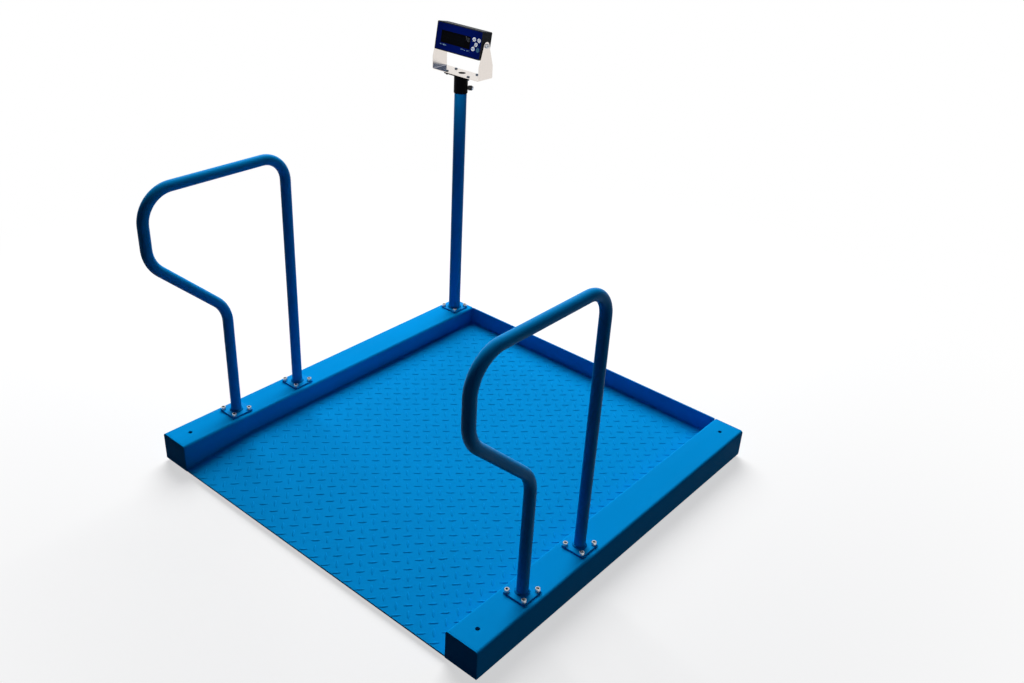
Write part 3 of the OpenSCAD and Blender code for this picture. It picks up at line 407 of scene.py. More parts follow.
@finish("moulded_black_plastic")
def moulded_black(f):
    grain = f.add("ShaderNodeTexVoronoi", out="Distance", Vector=f.coords, Scale=900.0)
    fine = f.noise(1400.0, 3.0, 0.6)
    mottled = f.noise(330.0, 3.0, 0.65).smooth(0.50, 0.66)
    return f.shader(
        Base_Color=f.mix(mottled, chosen("housing"), (0.014, 0.022, 0.034)),
        Roughness=0.42 + 0.12 * fine, Specular_IOR_Level=0.09,
        Normal=f.bump(grain * 0.6 + fine * 0.5, 0.35, 0.0005))


@finish("smooth_plastic")
def smooth_plastic(f, base, rough=0.35, gloss=0.5):
    soft = f.noise(40.0, 3.0)
    return f.shader(
        Base_Color=f.tones(soft, base, 0.93, 1.05), Roughness=rough + 0.06 * soft,
        Specular_IOR_Level=gloss, Normal=f.bump(f.noise(1800.0, 2.0), 0.06, 0.0002))


@finish("foot_rubber")
def rubber(f):
    dusty = f.noise(60.0, 4.0, 0.6)
    return f.shader(
        Base_Color=f.mix(dusty, (0.012, 0.012, 0.012), (0.03, 0.029, 0.028)),
        Roughness=0.72 + 0.14 * dusty, Specular_IOR_Level=0.3,
        Normal=f.bump(f.noise(900.0, 3.0), 0.3, 0.0004))


@finish("nickel_plated_alloy")
def nickel_alloy(f):
    grain = f.noise(90.0, 4.0, 0.6, stretch=(14.0, 1.0, 14.0))
    return f.shader(
        Base_Color=f.mix(grain, (0.52, 0.53, 0.55), (0.68, 0.69, 0.71)), Metallic=1.0,
        Roughness=0.34 + 0.12 * grain, Normal=f.bump(grain, 0.12, 0.0002))


@finish("solder_mask_green")
def solder_mask(f):
    x, y, _ = f.parts(f.coords)
    tracks = ((x * 900.0).sin() * (y * 700.0).sin()).smooth(0.35, 0.5)
    return f.shader(
        Base_Color=f.mix(tracks, (0.008, 0.09, 0.035), (0.02, 0.17, 0.07)),
        Roughness=0.3 + 0.1 * tracks, Coat_Weight=0.3, Normal=f.bump(tracks, 0.2, 0.0002))


@finish("face_film_navy")
def face_film(f):
    base = chosen("overlay")
    cloud = f.noise(12.0, 2.0)
    return f.shader(
        Base_Color=f.mix(cloud, base, tuple(1.25 * c + 0.001 for c in base)),
        Roughness=0.32 + 0.08 * cloud, Specular_IOR_Level=0.01,
        Normal=f.bump(f.noise(2600.0, 2.0), 0.12, 0.0002))


@finish("display_window_black")
def window_glass(f):
    smear = f.noise(25.0, 4.0, 0.6)
    return f.shader(
        Base_Color=f.mix(smear, (0.0008, 0.0008, 0.0015), (0.002, 0.002, 0.0035)),
        Roughness=0.10 + 0.08 * smear, Specular_IOR_Level=0.012)


def linked(name, data):
    """A new object in the scene."""
    made = bpy.data.objects.new(name, data)
    bpy.context.scene.collection.objects.link(made)
    return made


def coated(mesh, material):
    mesh.materials.clear()
    mesh.materials.append(material)


def add_piece(mesh, material, body, slot, *replaces):
    """Puts a mesh in the scene as a piece that rides on a body."""
    piece = linked(mesh.name, mesh)
    if material:
        coated(mesh, material)
    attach(piece, body)
    if replaces:
        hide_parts(*replaces)
    return piece


def smoothed(mesh, crease):
    """Shades a mesh smooth, with sharp edges where it bends by more than the crease."""
    mesh.polygons.foreach_set("use_smooth", [True] * len(mesh.polygons))
    mesh.set_sharp_from_angle(angle=crease)
    return mesh


def mesh_from(name, points, faces, crease=CREASE):
    mesh = bpy.data.meshes.new(name)
    mesh.from_pydata([tuple(p) for p in points], [], faces)
    mesh.update()
    return smoothed(mesh, crease)


def skinned(rings, closed=False):
    """Faces between neighbouring rings of point numbers. A ring of one point is a tip."""
    faces = []
    for low, high in zip(rings, rings[1:] + rings[:1] * closed):
        count = max(len(low), len(high))
        for k in range(count):
            n = (k + 1) % count
            if len(low) == 1:
                faces.append((high[n], high[k], low[0]))
            elif len(high) == 1:
                faces.append((low[k], low[n], high[0]))
            else:
                faces.append((low[k], low[n], high[n], high[k]))
    return faces


def lathe_data(profile, sides, place=Matrix.Identity(4), ripple=None):
    """Points and faces of a turned shape whose profile holds its (radius, height) pairs."""
    points, rings = [], []
    for radius, height in profile:
        turns = [2 * math.pi * k / sides for k in range(sides if radius else 1)]
        rings.append(range(len(points), len(points) + len(turns)))
        for turn in turns:
            r = radius * (ripple(turn, height) if ripple else 1)
            points.append(place @ Vector((r * math.cos(turn), r * math.sin(turn), height)))
    return points, skinned(rings)


def joined(parts):
    """Several (points, faces) pairs as one."""
    points, faces = [], []
    for more_points, more_faces in parts:
        start = len(points)
        points.extend(more_points)
        faces.extend(tuple(start + i for i in face) for face in more_faces)
    return points, faces


def mesh_of(name, parts, crease=CREASE):
    """One mesh of closed shells, given as (points and faces, material) pairs."""
    mesh = mesh_from(name, *joined([data for data, _ in parts]), crease)
    first = 0
    for (_, faces), material in parts:
        if mesh.materials.find(material.name) < 0:
            mesh.materials.append(material)
        for polygon in mesh.polygons[first:first + len(faces)]:
            polygon.material_index = mesh.materials.find(material.name)
        first += len(faces)
    return outwards(mesh)


def mesh_data(mesh):
    """The points and faces of a mesh."""
    return [v.co.copy() for v in mesh.vertices], [tuple(p.vertices) for p in mesh.polygons]


def moved(data, place):
    return [place @ Vector(point) for point in data[0]], data[1]


def plate(outline, low, high):
    """A thin flat shape: outline holds (x, y) anticlockwise, low and high are its two faces."""
    n = len(outline)
    points = [Vector((x, y, z)) for z in (low, high) for x, y in outline]
    faces = [tuple(range(n))[::-1], tuple(range(n, 2 * n))]
    faces += [(k, (k + 1) % n, n + (k + 1) % n, n + k) for k in range(n)]
    return points, faces


def bar(x, y, width, height):
    """The outline of a bar."""
    w, h = width / 2, height / 2
    return [(x - w, y - h), (x + w, y - h), (x + w, y + h), (x - w, y + h)]


def arc_band(inner, outer, start=0, end=359.9, steps=24):
    """The outline of a part of a ring from one angle to another, in degrees."""
    turns = [math.radians(start + (end - start) * k / steps) for k in range(steps + 1)]
    edge = [(outer * math.cos(a), outer * math.sin(a)) for a in turns]
    return edge + [(inner * math.cos(a), inner * math.sin(a)) for a in reversed(turns)]


def evaluated(holder):
    """The plain mesh that an object's curve or modifiers give. The object goes."""
    bpy.context.view_layer.update()
    shown = holder.evaluated_get(bpy.context.evaluated_depsgraph_get())
    mesh = bpy.data.meshes.new_from_object(shown)
    holder.modifiers.clear()
    bpy.data.objects.remove(holder)
    return mesh


def words(body, width, low, high):
    """Raised lettering that starts at the origin, scaled to a width."""
    curve = bpy.data.curves.new("words", "FONT")
    curve.body = body
    curve.extrude = 0.5
    curve.resolution_u = 3
    points, faces = mesh_data(evaluated(linked("words", curve)))
    left = min(p.x for p in points)
    scale = width / (max(p.x for p in points) - left)
    return [((p.x - left) * scale, p.y * scale, high if p.z > 0 else low) for p in points], faces


def seven_segments(width, height, low, high):
    """The seven bars of a display digit, leaning a little to the right."""
    thick, gap, point, lean = 0.19 * width, 0.08, 0.58, 0.09
    w, h = (width - thick) / 2, (height - thick) / 2
    bars = [(0, y, w, False) for y in (h, 0, -h)]
    bars += [(x, y, h / 2, True) for y in (h / 2, -h / 2) for x in (-w, w)]
    parts = []
    for x, y, long, upright in bars:
        a, b, t = long - gap * thick, long - point * thick, thick / 2
        outline = [(-a, 0), (-b, -t), (b, -t), (a, 0), (b, t), (-b, t)]
        if upright:
            outline = [(-v, u) for u, v in outline]
        parts.append(plate([(x + u + lean * (y + v), y + v) for u, v in outline], low, high))
    return joined(parts)


def cleaned(mesh, distance, step):
    """Merges a mesh's doubles, then runs one more bmesh step on it."""
    bm = bmesh.new()
    bm.from_mesh(mesh)
    bmesh.ops.remove_doubles(bm, verts=bm.verts, dist=distance)
    step(bm)
    bm.to_mesh(mesh)
    bm.free()
    return mesh


def outwards(mesh):
    """Merges doubles and turns the faces of closed shells outwards."""
    return cleaned(mesh, 1e-7, lambda bm: bmesh.ops.recalc_face_normals(bm, faces=bm.faces))


def finished_copy(node, material, radius, slot, segments=2, bend=30):
    """A copy of a CAD node, its triangles merged into flats and its sharp edges rounded.

    The radius is in mm. Edges that bend by more than bend, in degrees, are rounded.
    """
    same, flat, sharp = 2e-6, math.radians(0.6), math.radians(bend)
    mesh = NODES[node].data.copy()
    mesh.name = node + "_finished"
    cleaned(mesh, same, lambda bm: bmesh.ops.dissolve_limit(
        bm, angle_limit=flat, verts=bm.verts, edges=bm.edges))
    if "custom_normal" in mesh.attributes:
        mesh.attributes.remove(mesh.attributes["custom_normal"])
    smoothed(mesh, sharp)
    piece = add_piece(mesh, material, NODES[node]["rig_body"], slot, node)
    bevel = piece.modifiers.new("edges", "BEVEL")
    bevel.width = radius * MM
    bevel.segments = segments
    bevel.limit_method = "ANGLE"
    bevel.angle_limit = sharp
    bevel.use_clamp_overlap = True
    bevel.harden_normals = True
    bevel.miter_outer = "MITER_ARC"
    return piece


def paint(material, *names):
    """Gives CAD nodes a material."""
    for name in names:
        coated(NODES[name].data, material)


def line_mesh(name, points, edges=()):
    """A mesh of points and lines that a node tree builds on."""
    mesh = bpy.data.meshes.new(name)
    mesh.from_pydata([tuple(p) for p in points], edges, [])
    return mesh


def new_geometry_tree(name, **inputs):
    """A geometry node tree with a geometry input and output and the inputs named by kind."""
    tree = bpy.data.node_groups.new(name, "GeometryNodeTree")
    sockets = [("Geometry", "OUTPUT", "Geometry"), ("Geometry", "INPUT", "Geometry")]
    sockets += [(label, "INPUT", kind) for kind, labels in inputs.items() for label in labels]
    for label, way, kind in sockets:
        tree.interface.new_socket(label, in_out=way, socket_type="NodeSocket" + kind)
    build = Tree(tree)
    source = tree.nodes.new("NodeGroupInput")
    return tree, build, {s.name: Socket(build, s) for s in source.outputs if s.name}


def hand_on(g, geometry, material, **others):
    """Sets the material and links the geometry to the tree's output."""
    done = g.add("GeometryNodeSetMaterial", Geometry=geometry, Material=material, **others)
    g.links.new(done.socket, g.nodes.new("NodeGroupOutput").inputs["Geometry"])


def grown(name, base_mesh, tree, values):
    """Runs a geometry node tree on a mesh and returns the plain mesh that comes out."""
    holder = linked(name + "_maker", base_mesh)
    modifier = holder.modifiers.new("grow", "NODES")
    modifier.node_group = tree
    for item in tree.interface.items_tree:
        if item.item_type == "SOCKET" and item.in_out == "INPUT" and item.name in values:
            modifier[item.identifier] = values[item.name]
    mesh = evaluated(holder)
    mesh.name = name
    return mesh


def lug_tree():
    """Raised lugs on two crossed lattices, those of each turned their own way."""
    tree, g, given = new_geometry_tree(
        "tread_lugs", Vector=("Origin", "Low", "High"), Int=("Count X", "Count Y", "Seed"),
        Float=("Pitch X", "Pitch Y", "Lug Length", "Lug Width", "Lug Height", "Ramp End",
               "Ramp Slope"), Material=("Finish",))
    fullness, waist, doming, sunk, uneven = -0.31, 0.4, 0.25, 0.2 * MM, 0.04
    lug = g.add("GeometryNodeMeshCone", out="Mesh", settings={"fill_type": "TRIANGLE_FAN"},
                Vertices=12, Side_Segments=3, Fill_Segments=1, Radius_Top=0.28,
                Radius_Bottom=1.0, Depth=1.0)
    x, y, z = g.parts(g.add("GeometryNodeInputPosition"))
    fuller = (x * x + y * y).at_least(0.0001) ** fullness
    narrow = 1.0 - waist * (x * x)
    crown = z.smooth(0.0, 1.0) * (1.0 - doming * (x * x + y * y))
    half_length, half_width = given["Lug Length"] * 0.5, given["Lug Width"] * 0.5
    shaped = g.vector(x * fuller * half_length, y * narrow * half_width,
                      crown * given["Lug Height"] - sunk)
    lug = g.add("GeometryNodeSetPosition", Geometry=lug, Position=shaped)
    lug = g.add("GeometryNodeSetShadeSmooth", Geometry=lug)
    low_x, low_y, _ = g.parts(given["Low"])
    high_x, high_y, _ = g.parts(given["High"])
    sets = []
    for half, turn in ((0.0, math.pi / 4), (0.5, -math.pi / 4)):
        middle = [given["Pitch " + a] * ((given["Count " + a] - 1) * 0.5 + half) for a in "XY"]
        grid = g.add("GeometryNodeMeshGrid", out="Mesh",
                     Size_X=(given["Count X"] - 1) * given["Pitch X"],
                     Size_Y=(given["Count Y"] - 1) * given["Pitch Y"],
                     Vertices_X=given["Count X"], Vertices_Y=given["Count Y"])
        shift = g.add("ShaderNodeVectorMath", given["Origin"], g.vector(*middle, 0.0),
                      settings={"operation": "ADD"})
        grid = g.add("GeometryNodeTransform", Geometry=grid, Translation=shift)
        px, py, _ = g.parts(g.add("GeometryNodeInputPosition"))
        outside = ((px < low_x) + (px > high_x) + (py < low_y) + (py > high_y)) > 0.5
        grid = g.add("GeometryNodeDeleteGeometry", settings={"domain": "POINT"},
                     Geometry=grid, Selection=outside)
        drop = (given["Ramp End"] - py).at_least(0.0) * given["Ramp Slope"]
        grid = g.add("GeometryNodeSetPosition", Geometry=grid, Offset=g.vector(0.0, 0.0, -drop))
        copies = g.add("GeometryNodeInstanceOnPoints", Points=grid, Instance=lug,
                       Rotation=(0.0, 0.0, turn))
        tilt = (py < given["Ramp End"]) * given["Ramp Slope"].atan()
        copies = g.add("GeometryNodeRotateInstances", Instances=copies, Local_Space=False,
                       Rotation=g.vector(tilt, 0.0, 0.0),
                       Pivot_Point=g.add("GeometryNodeInputPosition"))
        wobble = g.add("FunctionNodeRandomValue", settings={"data_type": "FLOAT"},
                       Min=1 - uneven, Max=1 + uneven, Seed=given["Seed"])
        sets.append(g.add("GeometryNodeScaleInstances", Instances=copies,
                          Scale=g.vector(wobble, wobble, 1.0)))
    both = g.node("GeometryNodeJoinGeometry")
    for copies in reversed(sets):
        g.links.new(copies.socket, both.inputs["Geometry"])
    real = g.add("GeometryNodeRealizeInstances", Socket(g, both.outputs["Geometry"]))
    hand_on(g, real, given["Finish"])
    return tree


def copies_tree():
    """A copy of one object on every point of a mesh, each turned at random about its own axis."""
    tree, g, given = new_geometry_tree(
        "copies_on_points", Object=("Piece",), Float=("Turn",), Int=("Seed",),
        Material=("Finish",))
    master = g.add("GeometryNodeObjectInfo", out="Geometry", Object=given["Piece"],
                   settings={"transform_space": "ORIGINAL"})
    spin = g.add("FunctionNodeRandomValue", settings={"data_type": "FLOAT"},
                 Min=0.0, Max=given["Turn"], Seed=given["Seed"])
    copies = g.add("GeometryNodeInstanceOnPoints", Points=given["Geometry"], Instance=master)
    copies = g.add("GeometryNodeRotateInstances", Instances=copies,
                   Rotation=g.vector(0.0, 0.0, spin))
    real = g.add("GeometryNodeRealizeInstances", copies)
    hand_on(g, real, given["Finish"], Selection=False)
    return tree


def tube_tree():
    """A round tube along a line whose corners are rounded."""
    tree, g, given = new_geometry_tree(
        "tube_along_line", Float=("Radius",), Int=("Sides", "Steps"), Material=("Finish",))
    line = g.add("GeometryNodeMeshToCurve", Mesh=given["Geometry"])
    bend = g.add("GeometryNodeInputNamedAttribute", "bend", out="Attribute",
                 settings={"data_type": "FLOAT"})
    line = g.add("GeometryNodeFilletCurve", settings={"mode": "POLY"}, Curve=line,
                 Count=given["Steps"], Radius=bend, Limit_Radius=True)
    section = g.add("GeometryNodeCurvePrimitiveCircle", out="Curve",
                    Resolution=given["Sides"], Radius=given["Radius"])
    skin = g.add("GeometryNodeCurveToMesh", Curve=line, Profile_Curve=section, Fill_Caps=True)
    hand_on(g, skin, given["Finish"])
    return tree


def bent_tube(name, corners, bends, radius, sides, steps, material):
    """A plain mesh of a tube through the corners, each rounded by its own bend radius."""
    line = line_mesh(name + "_line", corners, [(i, i + 1) for i in range(len(corners) - 1)])
    line.attributes.new("bend", "FLOAT", "POINT").data.foreach_set("value", bends)
    tree = bpy.data.node_groups.get("tube_along_line") or tube_tree()
    mesh = grown(name, line, tree, {
        "Radius": radius, "Sides": sides, "Steps": steps, "Finish": material})
    return smoothed(outwards(mesh), math.radians(50))


def weld_bead(stations, inward, leg, pitch, closed=False):
    """Points and faces of a rippled fillet bead with one leg upright and one inward.

    The way inward is one vector, or on a closed bead one for each station.
    """
    rng = np.random.default_rng(SEED)
    least, ripple, rough, hollow, rooted, travelled = 0.86, 0.16, 0.04, 0.20, 0.1, 0.0
    up = Vector((0, 0, 1))
    points, rings = [], []
    for i, place in enumerate(stations):
        if i:
            travelled += (place - stations[i - 1]).length
        swell = least + ripple * abs(math.sin(math.pi * travelled / pitch))
        swell += rough * rng.standard_normal()
        out = inward[i] if closed else inward
        rings.append(range(len(points), len(points) + 6))
        for k in range(5):
            t = math.pi / 2 * k / 4
            curve = 1 - hollow + hollow * math.sin(2 * t) ** 0.5 if 0 < k < 4 else 1.0
            bulge = leg * swell * curve
            points.append(place + out * (bulge * math.cos(t)) + up * (bulge * math.sin(t)))
        points.append(place - (out + up) * (rooted * leg))
    faces = skinned(rings, closed)
    if not closed:
        faces += [tuple(rings[0]), tuple(reversed(rings[-1]))]
    return points, faces


def line_steps(start, end, step):
    """Even places from start to end, about a step apart."""
    start, end = Vector(start), Vector(end)
    n = max(2, round((end - start).length / step))
    return [start.lerp(end, i / n) for i in range(n + 1)]


def socket_screw(head_d, head_h, socket_flats, shank_d, shank_l, sides=36, knurl=0.0):
    """Points and faces of a socket-head screw whose head stands on the origin, shank down."""
    r, shank, edge = head_d / 2, shank_d / 2, 0.09 * head_d
    around = socket_flats / 2 / math.cos(math.pi / 6)
    profile = [
        (0, -shank_l), (shank - 0.4 * MM, -shank_l), (shank, -shank_l + 0.6 * MM), (shank, 0),
        (r - edge / 3, 0), (r, edge / 3), (r, head_h - edge),
        (r - 0.3 * edge, head_h - 0.3 * edge), (r - edge, head_h), (around * 1.12, head_h),
    ]

    def ripple(turn, height):
        ridge = 0.5 if round(turn * sides / (2 * math.pi)) % 2 else -0.5
        return 1 + knurl * ridge if 0 < height < head_h else 1

    points, faces = lathe_data(profile, sides, ripple=ripple)
    rim = [len(points) - sides + k for k in range(sides)]
    start = len(points)
    deep = head_h * 0.55

    def hex_radius(turn):
        local = (turn + math.pi / 6) % (math.pi / 3) - math.pi / 6
        return socket_flats / 2 / math.cos(local)

    for height in (head_h - 0.2 * MM, head_h - deep):
        for k in range(sides):
            turn = 2 * math.pi * k / sides
            hr = hex_radius(turn)
            points.append(Vector((hr * math.cos(turn), hr * math.sin(turn), height)))
    points.append(Vector((0, 0, head_h - deep - 0.8 * MM)))
    for k in range(sides):
        n = (k + 1) % sides
        faces.append((rim[k], rim[n], start + n, start + k))
        faces.append((start + k, start + n, start + sides + n, start + sides + k))
        faces.append((start + sides + k, start + sides + n, start + 2 * sides))
    return points, faces


def screw_parts(screw, sides, place):
    """A moved socket screw in two parts: plated, and near-black painted shade in two thirds of its
    socket.
    """
    points, faces = moved(screw, place)
    dark = 2 * sides
    return [((points, faces[:-dark]), zinc_plate()), ((points, faces[-dark:]), dark_hole())]


def foot_places(t):
    """The x, y and tube radius of each flange: four handrail legs, then the post."""
    feet = [(x, FRONT_Y + y, t.tube_d / 2) for x in (LEFT_X, RIGHT_X)
            for y in (t.front_leg, t.rear_leg)]
    return feet + [(POST_X, POST_Y, POST_R)]


class OBJECT_OT_scale_platform(bpy.types.Operator):
    """Finishes the rails, end plates, rear wall, tread plate and channels"""

    bl_idname = "object.scale_platform"
    bl_label = "Platform"

    def execute(self, context):
        for node, radius, segments in (
                ("left_rail", 0.5, 2), ("right_rail", 0.5, 2), ("rail_end_plates", 0.8, 3),
                ("rear_wall", 0.8, 3), ("deck_plate", 0.5, 2), ("deck_ribs", 0.8, 2)):
            finished_copy(node, powder_coat(), radius, "blue_paint", segments)
        paint(powder_coat(), "cell_spacers")
        return {"FINISHED"}


class OBJECT_OT_scale_tread(bpy.types.Operator):
    """Makes the raised lugs of the tread plate"""

    bl_idname = "object.scale_tread"
    bl_label = "Tread lugs"

    def execute(self, context):
        p = context.scene.scale_platform
        outer_x, margin, front_margin = RAIL_L[0].x, 5 * MM, 9.5 * MM
        low = Vector((DECK[0].x + margin, DECK[0].y + front_margin, 0))
        high = Vector((DECK[1].x - margin, DECK[1].y - margin, 0))
        first_x = outer_x + p.lug_first_x
        first_x -= math.floor((first_x - low.x) / p.lug_pitch_x + 1) * p.lug_pitch_x
        ramp_drop = DECK[1].z - (RAIL_L[0].z + p.ramp_lip)
        mesh = grown("tread_lugs", line_mesh("tread_start", []), lug_tree(), {
            "Pitch X": p.lug_pitch_x, "Pitch Y": p.lug_pitch_y,
            "Count X": math.ceil((high.x - first_x) / p.lug_pitch_x) + 1,
            "Count Y": math.ceil((high.y - FRONT_Y) / p.lug_pitch_y) + 1,
            "Origin": (first_x, FRONT_Y + p.lug_first_y, DECK[1].z),
            "Low": low, "High": high, "Lug Length": p.lug_length, "Lug Width": p.lug_width,
            "Lug Height": p.lug_height, "Ramp End": FRONT_Y + p.ramp_length,
            "Ramp Slope": ramp_drop / p.ramp_length, "Seed": SEED, "Finish": powder_coat(),
        })
        add_piece(mesh, powder_coat(), "platform", "blue_paint")
        return {"FINISHED"}


class OBJECT_OT_scale_welds(bpy.types.Operator):
    """Makes the weld beads along the deck and round the tubes"""

    bl_idname = "object.scale_welds"
    bl_label = "Weld beads"

    def execute(self, context):
        p = context.scene.scale_platform
        t = context.scene.scale_tubes
        coat = powder_coat("powder_coat_weld", 0.95)
        step, top, kink = p.bead_pitch / 4, DECK[1].z, FRONT_Y + p.ramp_length
        lip_z = RAIL_L[0].z + p.ramp_lip + 0.2 * MM
        parts = []
        for x, inward in ((DECK[0].x, 1), (DECK[1].x, -1)):
            stations = line_steps((x, FRONT_Y + 3 * MM, lip_z), (x, kink, top), step)
            stations += line_steps((x, kink, top), (x, DECK[1].y, top), step)[1:]
            parts.append(weld_bead(stations, Vector((inward, 0, 0)), p.bead_leg, p.bead_pitch))
        rear = line_steps((DECK[0].x, DECK[1].y, top), (DECK[1].x, DECK[1].y, top), step)
        parts.append(weld_bead(rear, Vector((0, -1, 0)), p.bead_leg, p.bead_pitch))
        mesh = outwards(mesh_from("deck_weld_beads", *joined(parts)))
        add_piece(mesh, coat, "platform", "blue_paint", "deck_welds")
        rings = []
        for x, y, r in foot_places(t):
            around = 2 * math.pi * r
            n = round(around / (p.bead_pitch / 3))
            turns = [2 * math.pi * k / n for k in range(n)]
            out = [Vector((math.cos(a), math.sin(a), 0)) for a in turns]
            where = [Vector((x, y, RAIL_TOP + t.flange_t)) + o * r for o in out]
            rings.append(weld_bead(where, out, 1.1 * p.bead_leg, around / (n // 3), closed=True))
        mesh = outwards(mesh_from("tube_weld_rings", *joined(rings)))
        add_piece(mesh, coat, "platform", "blue_paint")
        return {"FINISHED"}


class OBJECT_OT_scale_tubes(bpy.types.Operator):
    """Makes the handrails, the post and their flanges"""

    bl_idname = "object.scale_tubes"
    bl_label = "Handrails and post"

    def execute(self, context):
        t = context.scene.scale_tubes
        coat = powder_coat("powder_coat_tube", gloss=0.05)
        base, steps = RAIL_TOP + t.flange_t, 20
        front, back, upright = (FRONT_Y + y for y in (t.front_leg, t.rear_leg, t.upright))
        for side, x in (("left", LEFT_X), ("right", RIGHT_X)):
            corners = [(x, front, base), (x, front, t.low_knee), (x, upright, t.high_knee),
                       (x, upright, t.top_bar), (x, back, t.top_bar), (x, back, base)]
            bends = [0, t.knee_r, t.knee_r, t.front_r, t.rear_r, 0]
            mesh = bent_tube("handrail_tube_" + side, corners, bends, t.tube_d / 2, t.sides,
                             steps, coat)
            add_piece(mesh, coat, "platform", "blue_paint", "handrail_" + side)
            finished_copy("handrail_feet_" + side, coat, 0.7, "blue_paint")
        finished_copy("post_foot", coat, 0.7, "blue_paint")
        post = finished_copy("post_tube", coat, 0.5, "blue_paint", bend=50).data
        # Painted shade: the faces inside the post tube, where shade falls, get the near-black
        # recess colour.
        post.materials.append(dark_hole())
        wall = POST_R - 1 * MM
        for polygon in post.polygons:
            spots = [post.vertices[i].co for i in polygon.vertices]
            inside = all(math.hypot(v.x - POST_X, v.y - POST_Y) < wall for v in spots)
            polygon.material_index = int(inside)
        return {"FINISHED"}


class OBJECT_OT_scale_fixings(bpy.types.Operator):
    """Makes the flange bolts with their nuts, and finishes the other screws"""

    bl_idname = "object.scale_fixings"
    bl_label = "Bolts and nuts"

    def execute(self, context):
        t = context.scene.scale_tubes
        zinc = zinc_plate()
        socket, shank_d, sides, knurl = 6 * MM, 8 * MM, 36, 0.02
        top = RAIL_TOP + t.flange_t
        points, faces = socket_screw(t.head_d, t.head_h, socket, shank_d,
                                     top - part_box("flange_bolts")[0].z, sides, knurl)
        master = mesh_from("bolt_master", points, faces, SHARP_CREASE)
        master.materials.append(zinc)
        # The socket's last faces, two thirds of its depth, get the near-black painted shade.
        master.materials.append(dark_hole())
        for polygon in master.polygons[-2 * sides:]:
            polygon.material_index = 1
        holder = bpy.data.objects.new("bolt_master", master)
        h = t.bolt_pitch / 2
        spots = [(x + sx * h, y + sy * h, top) for x, y, _ in foot_places(t) for sx, sy in CORNERS]
        mesh = grown("flange_socket_screws", line_mesh("bolt_spots", spots), copies_tree(), {
            "Piece": holder, "Turn": math.pi / 3, "Seed": SEED, "Finish": zinc})
        add_piece(mesh, None, "platform", "zinc_steel", "flange_bolts")
        bpy.data.objects.remove(holder)
        for node, radius in (("flange_nuts", 0.5), ("lock_nuts", 0.6), ("cell_bolts", 0.6),
                             ("junction_screws", 0.3)):
            finished_copy(node, zinc, radius, "zinc_steel")
        return {"FINISHED"}


class OBJECT_OT_scale_weighing(bpy.types.Operator):
    """Finishes the load cells, levelling feet, junction box and leads"""

    bl_idname = "object.scale_weighing"
    bl_label = "Load cells, feet and leads"

    def execute(self, context):
        for corner in ("front_left", "front_right", "rear_left", "rear_right"):
            finished_copy("load_cell_" + corner, nickel_alloy(), 0.8, "cell_nickel")
            finished_copy("foot_stud_" + corner, zinc_plate(), 0.5, "zinc_steel")
            finished_copy("foot_sole_" + corner, rubber(), 0.5, "foot_rubber")
        grey = smooth_plastic("box_grey", (0.30, 0.31, 0.32), 0.5)
        finished_copy("junction_box", grey, 0.8, "box_grey")
        finished_copy("junction_lid", grey, 0.6, "box_grey")
        paint(solder_mask(), "junction_board")
        self.make_leads()
        clip = smooth_plastic("clip_black", (0.02, 0.02, 0.02), 0.5)
        finished_copy("lead_clips", clip, 0.4, "knob_black")
        return {"FINISHED"}

    def make_leads(self):
        """Runs each load cell's lead to the junction box through its clips."""
        bend, radius, sides, steps = 14 * MM, 2.25 * MM, 12, 6
        jacket = rubber("lead_jacket")
        parts = []
        for i, route in enumerate(LEAD_ROUTES):
            corners = [CENTRE + Vector(place) * MM for place in route]
            bends = [0] + [bend] * (len(route) - 2) + [0]
            tube = bent_tube("lead_" + str(i), corners, bends, radius, sides, steps, jacket)
            parts.append((mesh_data(tube), jacket))
        mesh = mesh_of("load_cell_leads", parts, math.radians(50))
        add_piece(mesh, jacket, "platform", "lead_black", "cell_leads")


